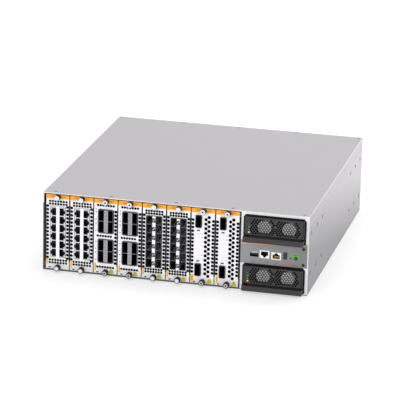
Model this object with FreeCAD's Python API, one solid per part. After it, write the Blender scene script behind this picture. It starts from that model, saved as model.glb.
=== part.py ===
"""Modular chassis switch: a 3U rack case with eight plug-in port modules and two plug-in power units.

Millimetres. X runs across the case, Y from the front to the back and Z up. The origin is the middle of
the case's underside, so the front plane is at y = FRONT and the back at y = REAR.
"""

import FreeCAD, Part

import math
import os

V = FreeCAD.Vector

# ---------------------------------------------------------------- clearances
FIT = 0.3           # between pieces that seat or slide beside each other
RUNNING_FIT = 0.05  # radial, between a pin and its bore
WINDOW_FIT = 0.3    # round a port block in its faceplate window

# ---------------------------------------------------------------- case, across
SHEET = 1.2                  # case sheet metal
SIDE_GAP = 5.35              # outer left face to the first module cell
MODULE_COUNT = 8
MODULE_PITCH = 40.36
DIVIDER_GAP = 1.07           # last module cell to the power bay frame
LEFT_STRIP = 3.7             # frame metal left of the power openings
POWER_OPENING_WIDTH = 102.4
RIGHT_STRIP = 4.6            # frame metal right of the power openings
MODULE_BAY_WIDTH = MODULE_COUNT * MODULE_PITCH
CASE_WIDTH = SIDE_GAP + MODULE_BAY_WIDTH + DIVIDER_GAP + LEFT_STRIP + POWER_OPENING_WIDTH + RIGHT_STRIP
HALF = CASE_WIDTH / 2
BAY_LEFT = -HALF + SIDE_GAP
FRAME_LEFT = BAY_LEFT + MODULE_BAY_WIDTH + DIVIDER_GAP
POWER_LEFT = FRAME_LEFT + LEFT_STRIP
POWER_RIGHT = POWER_LEFT + POWER_OPENING_WIDTH

# ---------------------------------------------------------------- case, upward
BOTTOM_STRIP = 2.7           # frame metal under the lower power opening
POWER_OPENING_HEIGHT = 43.1
MANAGEMENT_HEIGHT = 38.9     # between the two power openings
TOP_STRIP = 4.2              # above the upper power opening, cover included
CASE_HEIGHT = BOTTOM_STRIP + 2 * POWER_OPENING_HEIGHT + MANAGEMENT_HEIGHT + TOP_STRIP
CEILING = CASE_HEIGHT - SHEET
LOWER_OPENING = BOTTOM_STRIP
MANAGEMENT_BOTTOM = LOWER_OPENING + POWER_OPENING_HEIGHT
UPPER_OPENING = MANAGEMENT_BOTTOM + MANAGEMENT_HEIGHT
COVER_LIP = 17.0             # how far the cover folds down each side
LIP_BOTTOM = CASE_HEIGHT - COVER_LIP
INNER_WALL_OVERLAP = 1.5     # set-back wall behind the cover's lip reaches this far below it

# ---------------------------------------------------------------- case, front to back
CASE_DEPTH = 470.0
FRONT = -CASE_DEPTH / 2
REAR = CASE_DEPTH / 2
FRAME_RETURN = 9.5           # frame's fold along the right side
FRONT_LIP = 3.2              # tray's turned-up front edge

# ---------------------------------------------------------------- rack bracket holes in both sides
BRACKET_HOLE = 4.2
BRACKET_PITCH = 45.0
BRACKET_ROW_SPACING = 66.5
BRACKET_FRONT = 21.0         # front plane to the first hole
BRACKET_REAR = 19.5          # back plane to the last hole
BRACKET_COLUMNS = 3

# ---------------------------------------------------------------- countersunk screws
SCREW_HEAD = 5.2
SCREW_SHANK = 2.8
SCREW_LENGTH = 6.0
SCREW_HOLE = 3.2
COVER_FRONT_ROW = 9.5        # front plane to the front row of cover screws
COVER_REAR_ROW = 4.7         # back plane to the rear row
COVER_FRONT_INSETS = (18.5, 111.5)
COVER_CORNER_INSET = 10.0     # right face to the right-hand front screw
COVER_BAY_INSET = 16.3       # power bay frame to the front screw left of it
COVER_REAR_INSETS = (6.5, 118.5)
LIP_SCREW_POSITIONS = (170.0, 303.0)
LIP_SCREW_DROP = 10.0        # top of the case to the screws in the lips

# ---------------------------------------------------------------- module faceplates
PLATE_PROUD = 3.5            # in front of the case
PLATE_SHEET = 1.0
PLATE_GAP_LEFT = 0.6
PLATE_GAP_RIGHT = 0.66
PLATE_BOTTOM = 4.0
PLATE_TOP_GAP = 2.1
PLATE_TOP = CASE_HEIGHT - PLATE_TOP_GAP
PLATE_CENTRE = (PLATE_BOTTOM + PLATE_TOP) / 2
PLATE_FACE = FRONT - PLATE_PROUD
PLATE_BACK = PLATE_FACE + PLATE_SHEET
FLANGE_DEPTH = 10.0
END_FLANGE_DEPTH = 3.0
PLATE_EDGE_RADIUS = 0.6
SIDE_VENT = 3.9
SIDE_VENT_INSET = 2.9
SIDE_VENT_PITCH = 6.26
SIDE_VENT_ROWS = 15
FLANGE_VENT_SETBACK = 3.7    # plate face to the row of vents in each side flange
SMALL_VENT = 3.0
VENT_ROW_COUNT = 7
NETWORK_VENTS = (4.6, 3.6, 0.9)        # pitch, first row beyond the block, shift across
CAGE_VENTS = (4.4, 3.5, 0.0)
QUAD_VENT_PITCH = 4.375
QUAD_VENT_ABOVE = 6.5                  # upper block to the top row
QUAD_VENT_BELOW = 7.4                  # lower block to the bottom row
LARGE_VENT = 4.6
LARGE_VENT_PITCH = 7.63
LARGE_VENT_COLUMNS = ((4.6, 13), (9.7, 14))  # shift across and count

# ---------------------------------------------------------------- module boards, guides and rails
BOARD = 1.6
BOARD_FROM_CELL = 4.6        # cell edge to the board
BOARD_LENGTH = 185.0
RAIL_SETBACK = 7.0           # front plane to the tapped rails
RAIL_DEPTH = 12.0
BOTTOM_RAIL_HEIGHT = 10.4
TOP_RAIL_HEIGHT = 8.4
BOARD_RAIL_GAP = 0.8
BOARD_BOTTOM = SHEET + BOTTOM_RAIL_HEIGHT + BOARD_RAIL_GAP
BOARD_TOP = CEILING - TOP_RAIL_HEIGHT - BOARD_RAIL_GAP
GUIDE_WIDTH = 7.0
GUIDE_GRIP = 2.0             # how deep a board edge sits in its guide
SOCKET_DEPTH = 12.0          # board sockets on the backplane
SOCKET_GRIP = 8.0
SOCKET_WALL = 2.2
SOCKET_END_MARGIN = 14.0
BACKPLANE = 3.2
BACKPLANE_FRONT = PLATE_BACK + BOARD_LENGTH + SOCKET_DEPTH - SOCKET_GRIP
BACKPLANE_SCREW_GAP = 1.0    # backplane's top to the screws in the lips
BACKPLANE_TOP = CASE_HEIGHT - LIP_SCREW_DROP - SCREW_SHANK / 2 - BACKPLANE_SCREW_GAP

# ---------------------------------------------------------------- thumbscrews
KNOB = 9.6
KNOB_LENGTH = 9.2
KNOB_CHAMFER = 0.7
KNOB_GROOVE = 0.35
KNOB_NECK = 2.7              # length of the narrower neck against the plate
KNOB_SHANK = 3.0
KNOB_SHANK_HOLE = 3.6        # in the faceplate
KNOB_REACH = 10.0            # how far the shank runs into its rail
KNOB_SHIFT = 0.9             # right of the cell's middle
KNOB_TOP_DROP = 2.7          # plate top to the upper axis
KNOB_BOTTOM_RISE = 3.2       # plate bottom to the lower axis
DRIVE_RECESS = 2.4
DRIVE_RECESS_DEPTH = 3.0

# ---------------------------------------------------------------- port blocks
PANEL_SOCKET_PROUD = 0.3
NETWORK_PROUD = 0.8
CAGE_PROUD = 1.8
BLOCK_CORNER = 1.6
NETWORK_BLOCK = (26.4, 88.4, 32.0)     # width, height, depth
NETWORK_SHIFT = 0.5
NETWORK_ROWS = 6
NETWORK_ROW_PITCH = 13.97
SOCKET_MOUTH = (7.3, 12.5)             # across, along
SOCKET_FROM_MIDDLE = 2.75
LATCH_STEPS = ((1.5, 6.6), (1.0, 4.2)) # depth and width of each step of the latch notch
SOCKET_POCKET = 14.0
QUAD_BLOCK = (26.2, 40.4, 48.0)
QUAD_SHIFT = 0.4
QUAD_OFFSETS = (26.35, -24.15)
QUAD_WALL = 1.3
QUAD_CORNER = 3.0
QUAD_BAR = 6.6
QUAD_DIVIDER = 1.2
QUAD_SETBACK = 1.0
QUAD_POCKET = 42.0
BAR_GROOVE = 0.8
BAR_GROOVE_PITCH = 2.4
CAGE_BLOCK = (26.4, 87.4, 50.0)
CAGE_ROWS = 6
CAGE_WALL = 0.8
CAGE_DIVIDER = 0.8
CAGE_STRIP = 6.3
CAGE_SETBACK = 1.5
CAGE_POCKET = 44.0
STRIP_NOTCH = 6.6
PAIR_BLOCK = (10.4, 21.1, 55.0)
PAIR_SHIFT = -7.3
PAIR_OFFSETS = (41.75, -39.8)
PAIR_WALL = 0.9
PAIR_CORNER = 2.2
PAIR_POCKET = 48.0

# ---------------------------------------------------------------- power units
BEZEL_FLANGE = 2.0
BEZEL_RECESS = 1.2           # case's front to the flange
BEZEL_SIDE_GAP = 0.4
BEZEL_PROUD = 9.0
BEZEL_WALL = 2.0
BODY_LEFT_INSET = 4.2        # power opening to the raised face
BODY_RIGHT_INSET = 2.2
BODY_TOP_INSET = 2.4
BODY_BOTTOM_RISE = 11.0
BODY_CHAMFER = 0.6
CORNER_CUT = (3.5, 4.3)      # bevelled top corners, across and down
HANDLE_HEIGHT = 8.8
HANDLE_THICKNESS = 3.5
HANDLE_PROUD = 15.0
HANDLE_POST = 4.0
HANDLE_LEFT_INSET = 2.0
HANDLE_ROUND = 0.8
GRILLE_HOLE = 3.3            # across flats
GRILLE_PITCH = 4.5
GRILLE_ROW_PITCH = 3.18
GRILLE_RADIUS = 21.0
GRILLE_EDGE = 1.0            # metal kept round the grille field
CASE_SHEET = 1.0
CASE_SIDE_GAP = 2.4
CASE_TOP_GAP = 1.8           # power case to the top of its opening
POWER_CASE_HEIGHT = POWER_OPENING_HEIGHT - FIT - CASE_TOP_GAP
POWER_SOCKET_DEPTH = 12.0    # sockets for the tongues on the backplane
FAN_PITCH = 40.2
FAN_SHIFT = 2.2              # fans right of the case's middle
FAN_RISE = 21.1              # unit's underside to the fan axes
FAN_BAY = 10.7               # bezel flange to the fan baffle
FAN_BORE = 37.4
FAN_TIP_GAP = 0.5
FAN_HUB = 22.0
FAN_HUB_DEPTH = 9.0
FAN_PIN = 3.0
FAN_PIN_LENGTH = 8.0
FAN_BOSS = 10.0
FAN_BLADES = 7
FAN_BLADE_CHORD = 9.5
FAN_BLADE = 1.2
FAN_BLADE_ANGLE = 38.0
FAN_BLADE_ROOT = 1.0         # blades start this far inside the hub
FAN_HUB_ROUND = 0.8
FAN_STRUT = 2.4
TONGUE = (60.0, 1.6, 9.0)    # power connector: width, thickness, reach
LEDGE_WIDTH = 8.5
LEDGE = 3.0

# ---------------------------------------------------------------- management panel
PANEL = 1.5
PANEL_BOTTOM_RISE = 0.5
PANEL_TOP_DROP = 0.4
PANEL_LEFT_INSET = 0.2
PANEL_RIGHT_INSET = 1.8
PANEL_OPENING_RIM = 4.0
CONTROL_BOARD_RISE = 8.2     # management zone's bottom to the board's underside
USB = (22.75, 15.4, 13.1, 5.8, 17.0)             # across, up, width, height, depth
NETWORK_LOW = (39.7, 17.7, 16.0, 13.0, 21.0)
NETWORK_HIGH = (58.8, 16.5, 16.0, 12.4, 21.0)
PANEL_SOCKET = (11.8, 6.8, 12.0)                 # mouth width, height and depth
PANEL_LATCH = ((6.2, 1.6), (3.4, 1.4))
PANEL_LATCH_SHIFT = 1.2                          # mouth's middle from the housing's, away from the latch
USB_WALL = 0.35
USB_TONGUE = (10.7, 1.8, 0.8)                    # width, thickness, setback
USB_TONGUE_RISE = 0.1
USB_FLOOR = 3.0
DISPLAY = (73.35, 18.2, 6.5, 11.5, 6.0)
RESET_HOLE = (82.4, 14.8)
RESET_HOLE_DIAMETER = 2.5
BUTTON = (90.9, 15.3)
BUTTON_DIAMETER = 5.6
BUTTON_PROUD = 1.2
BUTTON_STEM = 3.0
BUTTON_CAP = 4.0
BUTTON_TRAVEL = 1.0
BUTTON_ROUND = 0.4
SWITCH_BODY = (7.0, 4.5)
PANEL_SCREWS = ((102.9, 32.0), (102.9, 5.4))

# ---------------------------------------------------------------- back of the case
INLET_MOUTH = (24.4, 16.6)
INLET_WALL = 1.5
INLET_DEPTH = 22.0
INLET_POCKET = 17.0
INLET_FLANGE = 3.0
INLET_FLANGE_THICKNESS = 2.0
INLET_PITCH = 50.0
INLET_HEIGHT = 34.0
INLET_PIN = (4.0, 2.0, 11.0)
INLET_PIN_PITCH = 7.0
INLET_PIN_DROP = 4.0
REAR_FLANGE = 12.0
EXHAUST_SLOT = (3.4, 30.0)
EXHAUST_PITCH = 7.0
EXHAUST_ROW_SPACING = 46.0
EXHAUST_MARGIN = 14.0
EXHAUST_FLAT = 0.2           # flat left at the middle of a slot's round ends

KINDS = ("network", "network", "quad", "quad", "cage", "cage", "pair", "pair")


# ================================================================ building blocks
def box(x0, x1, y0, y1, z0, z1):
    """Block between two corners."""
    return Part.makeBox(x1 - x0, y1 - y0, z1 - z0, V(x0, y0, z0))


def rod_y(x, z, diameter, y0, y1):
    """Round bar along Y."""
    return Part.makeCylinder(diameter / 2, y1 - y0, V(x, y0, z), V(0, 1, 0))


def rod_x(y, z, diameter, x0, x1):
    """Round bar along X."""
    return Part.makeCylinder(diameter / 2, x1 - x0, V(x0, y, z), V(1, 0, 0))


def rounded_block(x, z, width, height, radius, y0, y1):
    """Block about (x, z) whose four edges along Y are rounded."""
    block = box(x - width / 2, x + width / 2, y0, y1, z - height / 2, z + height / 2)
    edges = [e for e in block.Edges if abs(e.tangentAt(e.FirstParameter).y) > 0.99]
    return block.makeFillet(radius, edges)


def hexagon_y(x, z, across_flats, y0, y1):
    """Six-sided bar along Y with two flats upright."""
    corner = across_flats / math.sqrt(3)
    points = []
    for k in range(7):
        angle = math.radians(90 + 60 * k)
        points.append(V(x + corner * math.cos(angle), y0, z + corner * math.sin(angle)))
    return Part.Face(Part.makePolygon(points)).extrude(V(0, y1 - y0, 0))


def prism_y(points, y0, y1):
    """Bar along Y whose section is the outline through (x, z) points."""
    corners = [V(x, y0, z) for x, z in points]
    return Part.Face(Part.makePolygon(corners + corners[:1])).extrude(V(0, y1 - y0, 0))


def fused(first, *others):
    """One solid from touching ones, with its flat faces merged."""
    return first.fuse(list(others)).removeSplitter()


def drilled(body, tools):
    """The body with all the tools, which don't overlap each other, taken out."""
    return body.cut(Part.makeCompound(tools)) if tools else body


def evenly(middle, pitch, count):
    """Places at one pitch, centred on a middle."""
    start = middle - pitch * (count - 1) / 2
    return [start + pitch * k for k in range(count)]


# ================================================================ screws
def countersunk_profile(head, shank, length):
    """Half outline of a flush screw, from its flat head down: (radius, depth) points."""
    taper = (head - shank) / 2
    return [(0, 0), (head / 2, 0), (shank / 2, taper), (shank / 2, length), (0, length)]


def countersunk(place, direction, head, shank, length):
    """Flush screw, or its hole, whose head's face is at a place and whose tip points along a direction."""
    points = [V(r, 0, -d) for r, d in countersunk_profile(head, shank, length)]
    face = Part.Face(Part.makePolygon(points + points[:1]))
    screw = face.revolve(V(0, 0, 0), V(0, 0, 1), 360)
    turn = FreeCAD.Rotation(V(0, 0, -1), direction)
    screw.Placement = FreeCAD.Placement(place, turn)
    return screw


def cover_screw_places():
    """Face centre and direction of each screw in the cover's top and lips."""
    down = V(0, 0, -1)
    front_xs = [-HALF + i for i in COVER_FRONT_INSETS]
    front_xs += [0.0, FRAME_LEFT - COVER_BAY_INSET, HALF - COVER_CORNER_INSET]
    rear_xs = [-HALF + i for i in COVER_REAR_INSETS] + [0.0] + [HALF - i for i in COVER_REAR_INSETS]
    places = [(V(x, FRONT + COVER_FRONT_ROW, CASE_HEIGHT), down) for x in front_xs]
    places += [(V(x, REAR - COVER_REAR_ROW, CASE_HEIGHT), down) for x in rear_xs]
    for side in (-1, 1):
        for y in LIP_SCREW_POSITIONS:
            places.append((V(side * HALF, FRONT + y, CASE_HEIGHT - LIP_SCREW_DROP), V(-side, 0, 0)))
    return places


def panel_screw_places():
    """Face centre and direction of each screw in the management panel."""
    places = [on_panel(across, up) for across, up in PANEL_SCREWS]
    return [(V(x, FRONT - PANEL, z), V(0, 1, 0)) for x, z in places]


def screw_holes(places):
    """Countersunk clearance holes, a little wider and longer than the screws."""
    wider = SCREW_HOLE - SCREW_SHANK
    return [
        countersunk(p, d, SCREW_HEAD + wider, SCREW_HOLE, SCREW_LENGTH + FIT)
        for p, d in places
    ]


def chassis_screws():
    """Every small flush screw of the case and the management panel."""
    places = cover_screw_places() + panel_screw_places()
    return Part.makeCompound(
        [countersunk(p, d, SCREW_HEAD, SCREW_SHANK, SCREW_LENGTH) for p, d in places]
    )


# ================================================================ case
def bracket_hole_places():
    """(y, z) of the rack bracket holes in one side."""
    front = [FRONT + BRACKET_FRONT + k * BRACKET_PITCH for k in range(BRACKET_COLUMNS)]
    rear = [REAR - BRACKET_REAR - k * BRACKET_PITCH for k in range(BRACKET_COLUMNS)]
    rows = evenly(CASE_HEIGHT / 2, BRACKET_ROW_SPACING, 2)
    return [(y, z) for y in front + rear for z in rows]


def side_wall(side):
    """Folded side wall: flush below the cover's lip and set back behind it."""
    outer = side * HALF
    inner = side * (HALF - SHEET)
    set_back_outer = side * (HALF - SHEET - FIT)
    set_back_inner = side * (HALF - 2 * SHEET - FIT)
    joggle = LIP_BOTTOM - FIT - INNER_WALL_OVERLAP
    xs = sorted((outer, inner))
    low = box(xs[0], xs[1], FRONT, REAR, 0, LIP_BOTTOM - FIT)
    xs = sorted((outer, set_back_inner))
    step = box(xs[0], xs[1], FRONT, REAR, LIP_BOTTOM - FIT - SHEET, LIP_BOTTOM - FIT)
    xs = sorted((set_back_outer, set_back_inner))
    high = box(xs[0], xs[1], FRONT, REAR, joggle, CEILING)
    return [low, step, high]


def chassis_tray():
    """Bottom, side walls and front lip, folded from one sheet."""
    floor = box(-HALF, HALF, FRONT, REAR, 0, SHEET)
    lip = box(-HALF, FRAME_LEFT - FIT, FRONT, FRONT + SHEET, 0, FRONT_LIP)
    tray = fused(floor, lip, *side_wall(-1), *side_wall(1))
    frame_room = box(
        HALF - 3 * SHEET - FIT, HALF + SHEET, FRONT - SHEET, FRONT + FRAME_RETURN + FIT, SHEET, CASE_HEIGHT
    )
    holes = []
    for y, z in bracket_hole_places():
        holes.append(rod_x(y, z, BRACKET_HOLE, HALF - 2 * SHEET, HALF + SHEET))
        holes.append(rod_x(y, z, BRACKET_HOLE, -HALF - SHEET, -HALF + 2 * SHEET))
    return drilled(tray.cut(frame_room), holes + screw_holes(cover_screw_places()))


def top_cover():
    """Cover sheet with a lip down each side; the right lip stops behind the power bay frame."""
    sheet = box(-HALF, HALF, FRONT, REAR, CEILING, CASE_HEIGHT)
    left = box(-HALF, -HALF + SHEET, FRONT, REAR, LIP_BOTTOM, CASE_HEIGHT)
    right = box(HALF - SHEET, HALF, FRONT + FRAME_RETURN + FIT, REAR, LIP_BOTTOM, CASE_HEIGHT)
    return drilled(fused(sheet, left, right), screw_holes(cover_screw_places()))


def power_opening(bottom):
    """Cutter for one power opening, with its two top corners bevelled."""
    across, down = CORNER_CUT
    top = bottom + POWER_OPENING_HEIGHT
    outline = [
        (POWER_LEFT, bottom),
        (POWER_RIGHT, bottom),
        (POWER_RIGHT, top - down),
        (POWER_RIGHT - across, top),
        (POWER_LEFT + across, top),
        (POWER_LEFT, top - down),
    ]
    return prism_y(outline, FRONT - SHEET, FRONT + 2 * SHEET)


def power_bay_frame():
    """Front frame of the power bay with the wall that parts it from the modules, as one folded sheet."""
    face = box(FRAME_LEFT, HALF, FRONT, FRONT + SHEET, SHEET, CEILING)
    management = box(
        POWER_LEFT, POWER_RIGHT, FRONT - SHEET, FRONT + 2 * SHEET,
        MANAGEMENT_BOTTOM + PANEL_OPENING_RIM, UPPER_OPENING - PANEL_OPENING_RIM,
    )
    face = drilled(face, [power_opening(LOWER_OPENING), power_opening(UPPER_OPENING), management])
    wall = box(FRAME_LEFT, FRAME_LEFT + SHEET, FRONT, BACKPLANE_FRONT - FIT, SHEET, CEILING)
    side = box(HALF - SHEET, HALF, FRONT, FRONT + FRAME_RETURN, SHEET, CEILING)
    top_end = HALF - 3 * SHEET
    top = box(FRAME_LEFT, top_end, FRONT, FRONT + RAIL_SETBACK + RAIL_DEPTH, CEILING - SHEET, CEILING)
    frame = fused(face, wall, side, top)
    return drilled(frame, screw_holes(cover_screw_places() + panel_screw_places()))


def module_rail(z0, z1, left):
    """Tapped bar across the module bay, with a hole for each module's thumbscrew."""
    y0 = FRONT + RAIL_SETBACK
    return box(left, FRAME_LEFT, y0, y0 + RAIL_DEPTH, z0, z1)


def module_rails():
    """The lower and upper tapped bars."""
    holes = [
        rod_y(x, z, KNOB_SHANK + 2 * RUNNING_FIT, FRONT, FRONT + RAIL_SETBACK + KNOB_REACH + FIT)
        for x in knob_xs()
        for z in knob_zs()
    ]
    lower = module_rail(SHEET, SHEET + BOTTOM_RAIL_HEIGHT, -HALF + SHEET)
    upper = module_rail(CEILING - TOP_RAIL_HEIGHT, CEILING, -HALF + 2 * SHEET + FIT)
    bars = Part.makeCompound([lower, upper])
    return bars.cut(Part.makeCompound(holes + screw_holes(cover_screw_places())))


def slide_guides():
    """Grooved strips for the module boards, and the ledges that the power units slide on."""
    y0 = FRONT + RAIL_SETBACK + RAIL_DEPTH + FIT
    y1 = BACKPLANE_FRONT - SOCKET_DEPTH - FIT
    guides = []
    for cell in range(MODULE_COUNT):
        middle = board_left(cell) + BOARD / 2
        left, right = middle - GUIDE_WIDTH / 2, middle + GUIDE_WIDTH / 2
        slot = box(
            board_left(cell) - FIT, board_left(cell) + BOARD + FIT, y0 - FIT, y1 + FIT,
            BOARD_BOTTOM - FIT, BOARD_TOP + FIT,
        )
        lower = box(left, right, y0, y1, SHEET, BOARD_BOTTOM + GUIDE_GRIP)
        upper = box(left, right, y0, y1, BOARD_TOP - GUIDE_GRIP, CEILING)
        guides += [lower.cut(slot), upper.cut(slot)]
    wall_left = FRAME_LEFT + SHEET
    wall_right = HALF - SHEET
    for opening, under in ((LOWER_OPENING, SHEET), (UPPER_OPENING, UPPER_OPENING - LEDGE)):
        guides.append(box(wall_left, POWER_LEFT + LEDGE_WIDTH, y0, y1, under, opening))
        guides.append(box(POWER_RIGHT - LEDGE_WIDTH, wall_right, y0, y1, under, opening))
    return Part.makeCompound(guides)


def backplane():
    """Upright board across the case, with a socket for each module and each power unit."""
    board = box(
        -HALF + 2 * SHEET + 2 * FIT, HALF - 2 * SHEET - 2 * FIT,
        BACKPLANE_FRONT, BACKPLANE_FRONT + BACKPLANE, SHEET, BACKPLANE_TOP,
    )
    y0 = BACKPLANE_FRONT - SOCKET_DEPTH
    sockets, slots = [], []
    for cell in range(MODULE_COUNT):
        x = board_left(cell)
        z0, z1 = BOARD_BOTTOM + SOCKET_END_MARGIN, BOARD_TOP - SOCKET_END_MARGIN
        sockets.append(box(x - SOCKET_WALL, x + BOARD + SOCKET_WALL, y0, BACKPLANE_FRONT, z0, z1))
        slots.append(
            box(x - FIT, x + BOARD + FIT, y0 - FIT, y0 + SOCKET_GRIP + FIT, z0 - FIT, z1 + FIT)
        )
    width, thick, reach = TONGUE
    for opening in (LOWER_OPENING, UPPER_OPENING):
        x, z = power_case_middle(), opening + FIT + POWER_CASE_HEIGHT / 2
        half_w, half_t = width / 2, thick / 2
        rear = power_case_rear()
        sockets.append(
            box(
                x - half_w - SOCKET_WALL - FIT, x + half_w + SOCKET_WALL + FIT, rear + FIT, BACKPLANE_FRONT,
                z - half_t - SOCKET_WALL, z + half_t + SOCKET_WALL,
            )
        )
        slots.append(
            box(
                x - half_w - FIT, x + half_w + FIT, rear, rear + reach + FIT,
                z - half_t - FIT, z + half_t + FIT,
            )
        )
    return drilled(fused(board, *sockets), slots)


def inlet_xs():
    """Middle x of each power inlet."""
    return evenly(power_case_middle(), INLET_PITCH, 2)


def rear_panel():
    """Back sheet with exhaust slots and two inlet cut-outs, folded forward under the cover."""
    side = HALF - SHEET - FIT
    high_side = HALF - 2 * SHEET - 2 * FIT
    step = LIP_BOTTOM - FIT - SHEET - INNER_WALL_OVERLAP
    low = box(-side, side, REAR - SHEET, REAR, SHEET, step)
    high = box(-high_side, high_side, REAR - SHEET, REAR, SHEET, CEILING)
    flange = box(-high_side, high_side, REAR - REAR_FLANGE, REAR, CEILING - SHEET, CEILING)
    panel = fused(low, high, flange)
    width, height = EXHAUST_SLOT
    first, last = -HALF + EXHAUST_MARGIN, FRAME_LEFT - EXHAUST_MARGIN
    count = int((last - first) / EXHAUST_PITCH)
    rows = evenly(CASE_HEIGHT / 2, EXHAUST_ROW_SPACING, 2)
    round_by = width / 2 - EXHAUST_FLAT
    cuts = [
        rounded_block(x, z, width, height, round_by, REAR - 2 * SHEET, REAR + SHEET)
        for x in evenly((first + last) / 2, EXHAUST_PITCH, count)
        for z in rows
    ]
    mouth_w = INLET_MOUTH[0] + 2 * INLET_WALL + 2 * FIT
    mouth_h = INLET_MOUTH[1] + 2 * INLET_WALL + 2 * FIT
    for x in inlet_xs():
        cuts.append(
            box(
                x - mouth_w / 2, x + mouth_w / 2, REAR - 2 * SHEET, REAR + SHEET,
                INLET_HEIGHT - mouth_h / 2, INLET_HEIGHT + mouth_h / 2,
            )
        )
    power_slots = int(POWER_OPENING_WIDTH / EXHAUST_PITCH) - 1
    cuts += [
        rounded_block(x, rows[1], width, height, round_by, REAR - 2 * SHEET, REAR + SHEET)
        for x in evenly(power_case_middle(), EXHAUST_PITCH, power_slots)
    ]
    return drilled(panel, cuts + screw_holes(cover_screw_places()))


def power_inlet(x):
    """Three-pin inlet housing with its flange against the outside of the rear panel."""
    mouth_w, mouth_h = INLET_MOUTH
    half_w, half_h = mouth_w / 2 + INLET_WALL, mouth_h / 2 + INLET_WALL
    z = INLET_HEIGHT
    out = REAR + INLET_FLANGE_THICKNESS
    shell = box(x - half_w, x + half_w, out - INLET_DEPTH, out, z - half_h, z + half_h)
    flange = box(
        x - half_w - INLET_FLANGE, x + half_w + INLET_FLANGE, REAR, out,
        z - half_h - INLET_FLANGE, z + half_h + INLET_FLANGE,
    )
    pocket = box(
        x - mouth_w / 2, x + mouth_w / 2, out - INLET_POCKET, out + FIT,
        z - mouth_h / 2, z + mouth_h / 2,
    )
    inlet = fused(shell, flange).cut(pocket)
    thick, tall, long = INLET_PIN[1], INLET_PIN[0], INLET_PIN[2]
    floor = out - INLET_POCKET
    pins = []
    for side, rise in ((-1, -INLET_PIN_DROP), (0, INLET_PIN_DROP), (1, -INLET_PIN_DROP)):
        px, pz = x + side * INLET_PIN_PITCH, z + rise / 2
        low, high = pz - tall / 2, pz + tall / 2
        pins.append(box(px - thick / 2, px + thick / 2, floor - FIT, floor + long, low, high))
    return fused(inlet, *pins)


def power_inlets():
    """The two inlets on the back."""
    return Part.makeCompound([power_inlet(x) for x in inlet_xs()])


# ================================================================ modules
def cell_left(cell):
    """Left edge of a module cell, counted from 0."""
    return BAY_LEFT + cell * MODULE_PITCH


def cell_middle(cell):
    """Middle of a module cell."""
    return cell_left(cell) + MODULE_PITCH / 2


def board_left(cell):
    """Left face of a module's board."""
    return cell_left(cell) + BOARD_FROM_CELL


def knob_xs():
    """Thumbscrew axes across the bay."""
    return [cell_middle(cell) + KNOB_SHIFT for cell in range(MODULE_COUNT)]


def knob_zs():
    """Heights of the lower and upper thumbscrew axes."""
    return (PLATE_BOTTOM + KNOB_BOTTOM_RISE, PLATE_TOP - KNOB_TOP_DROP)


def plate_sides(cell):
    """Left and right faces of a module's faceplate."""
    return cell_left(cell) + PLATE_GAP_LEFT, cell_left(cell) + MODULE_PITCH - PLATE_GAP_RIGHT


def plate_pan(cell):
    """Faceplate blank: a front sheet with deep side flanges and shallow end flanges."""
    left, right = plate_sides(cell)
    face = box(left, right, PLATE_FACE, PLATE_BACK, PLATE_BOTTOM, PLATE_TOP)
    sides = [
        box(x, x + PLATE_SHEET, PLATE_FACE, PLATE_FACE + FLANGE_DEPTH, PLATE_BOTTOM, PLATE_TOP)
        for x in (left, right - PLATE_SHEET)
    ]
    ends = [
        box(left, right, PLATE_FACE, PLATE_FACE + END_FLANGE_DEPTH, z, z + PLATE_SHEET)
        for z in (PLATE_BOTTOM, PLATE_TOP - PLATE_SHEET)
    ]
    pan = fused(face, *sides, *ends)
    front_edges = []
    for edge in pan.Edges:
        ends_y = [v.Y for v in edge.Vertexes]
        span = edge.BoundBox
        in_front = max(abs(y - PLATE_FACE) for y in ends_y) < 1e-6
        if in_front and max(span.XLength, span.ZLength) > MODULE_PITCH / 2:
            front_edges.append(edge)
    return pan.makeFillet(PLATE_EDGE_RADIUS, front_edges)


def side_vent_zs():
    """Heights of the vents along a faceplate's side edges."""
    return evenly(PLATE_CENTRE, SIDE_VENT_PITCH, SIDE_VENT_ROWS)


def side_vents(cell, left_too):
    """Round vents near the side edges, and staggered ones in the side flanges."""
    left, right = plate_sides(cell)
    front = (PLATE_FACE - FIT, PLATE_BACK + FIT)
    zs = side_vent_zs()
    flange_y = PLATE_FACE + FLANGE_VENT_SETBACK
    between = [z + SIDE_VENT_PITCH / 2 for z in zs[:-1]]
    cuts = [rod_y(right - SIDE_VENT_INSET, z, SIDE_VENT, *front) for z in zs]
    if left_too:
        cuts += [rod_y(left + SIDE_VENT_INSET, z, SIDE_VENT, *front) for z in zs]
    for x0 in (left - FIT, right - PLATE_SHEET - FIT):
        cuts += [rod_x(flange_y, z, SIDE_VENT, x0, x0 + PLATE_SHEET + 2 * FIT) for z in between]
    return cuts


def vent_row(middle, z, pitch, count):
    """One row of small round vents."""
    return [
        rod_y(x, z, SMALL_VENT, PLATE_FACE - FIT, PLATE_BACK + FIT)
        for x in evenly(middle, pitch, count)
    ]


def vent_rows_beyond(cell, block_height, layout):
    """Two rows of small vents above a central port block and two below it."""
    pitch, gap, shift = layout
    middle = cell_middle(cell) + shift
    cuts = []
    for reach in (block_height / 2 + gap, block_height / 2 + gap + pitch):
        for z in (PLATE_CENTRE + reach, PLATE_CENTRE - reach):
            cuts += vent_row(middle, z, pitch, VENT_ROW_COUNT)
    return cuts


def window(x, z, width, height, radius):
    """Cutter for a port block's window in a faceplate."""
    return rounded_block(
        x, z, width + 2 * WINDOW_FIT, height + 2 * WINDOW_FIT, radius, PLATE_FACE - FIT, PLATE_BACK + FIT
    )


def block_seat(cell, x, z, width, height, depth):
    """Rear part of a port block, which reaches across to the module's board."""
    low, high = z - height / 2, z + height / 2
    return box(board_left(cell) + BOARD, x + width / 2, PLATE_BACK, PLATE_FACE + depth, low, high)


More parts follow.
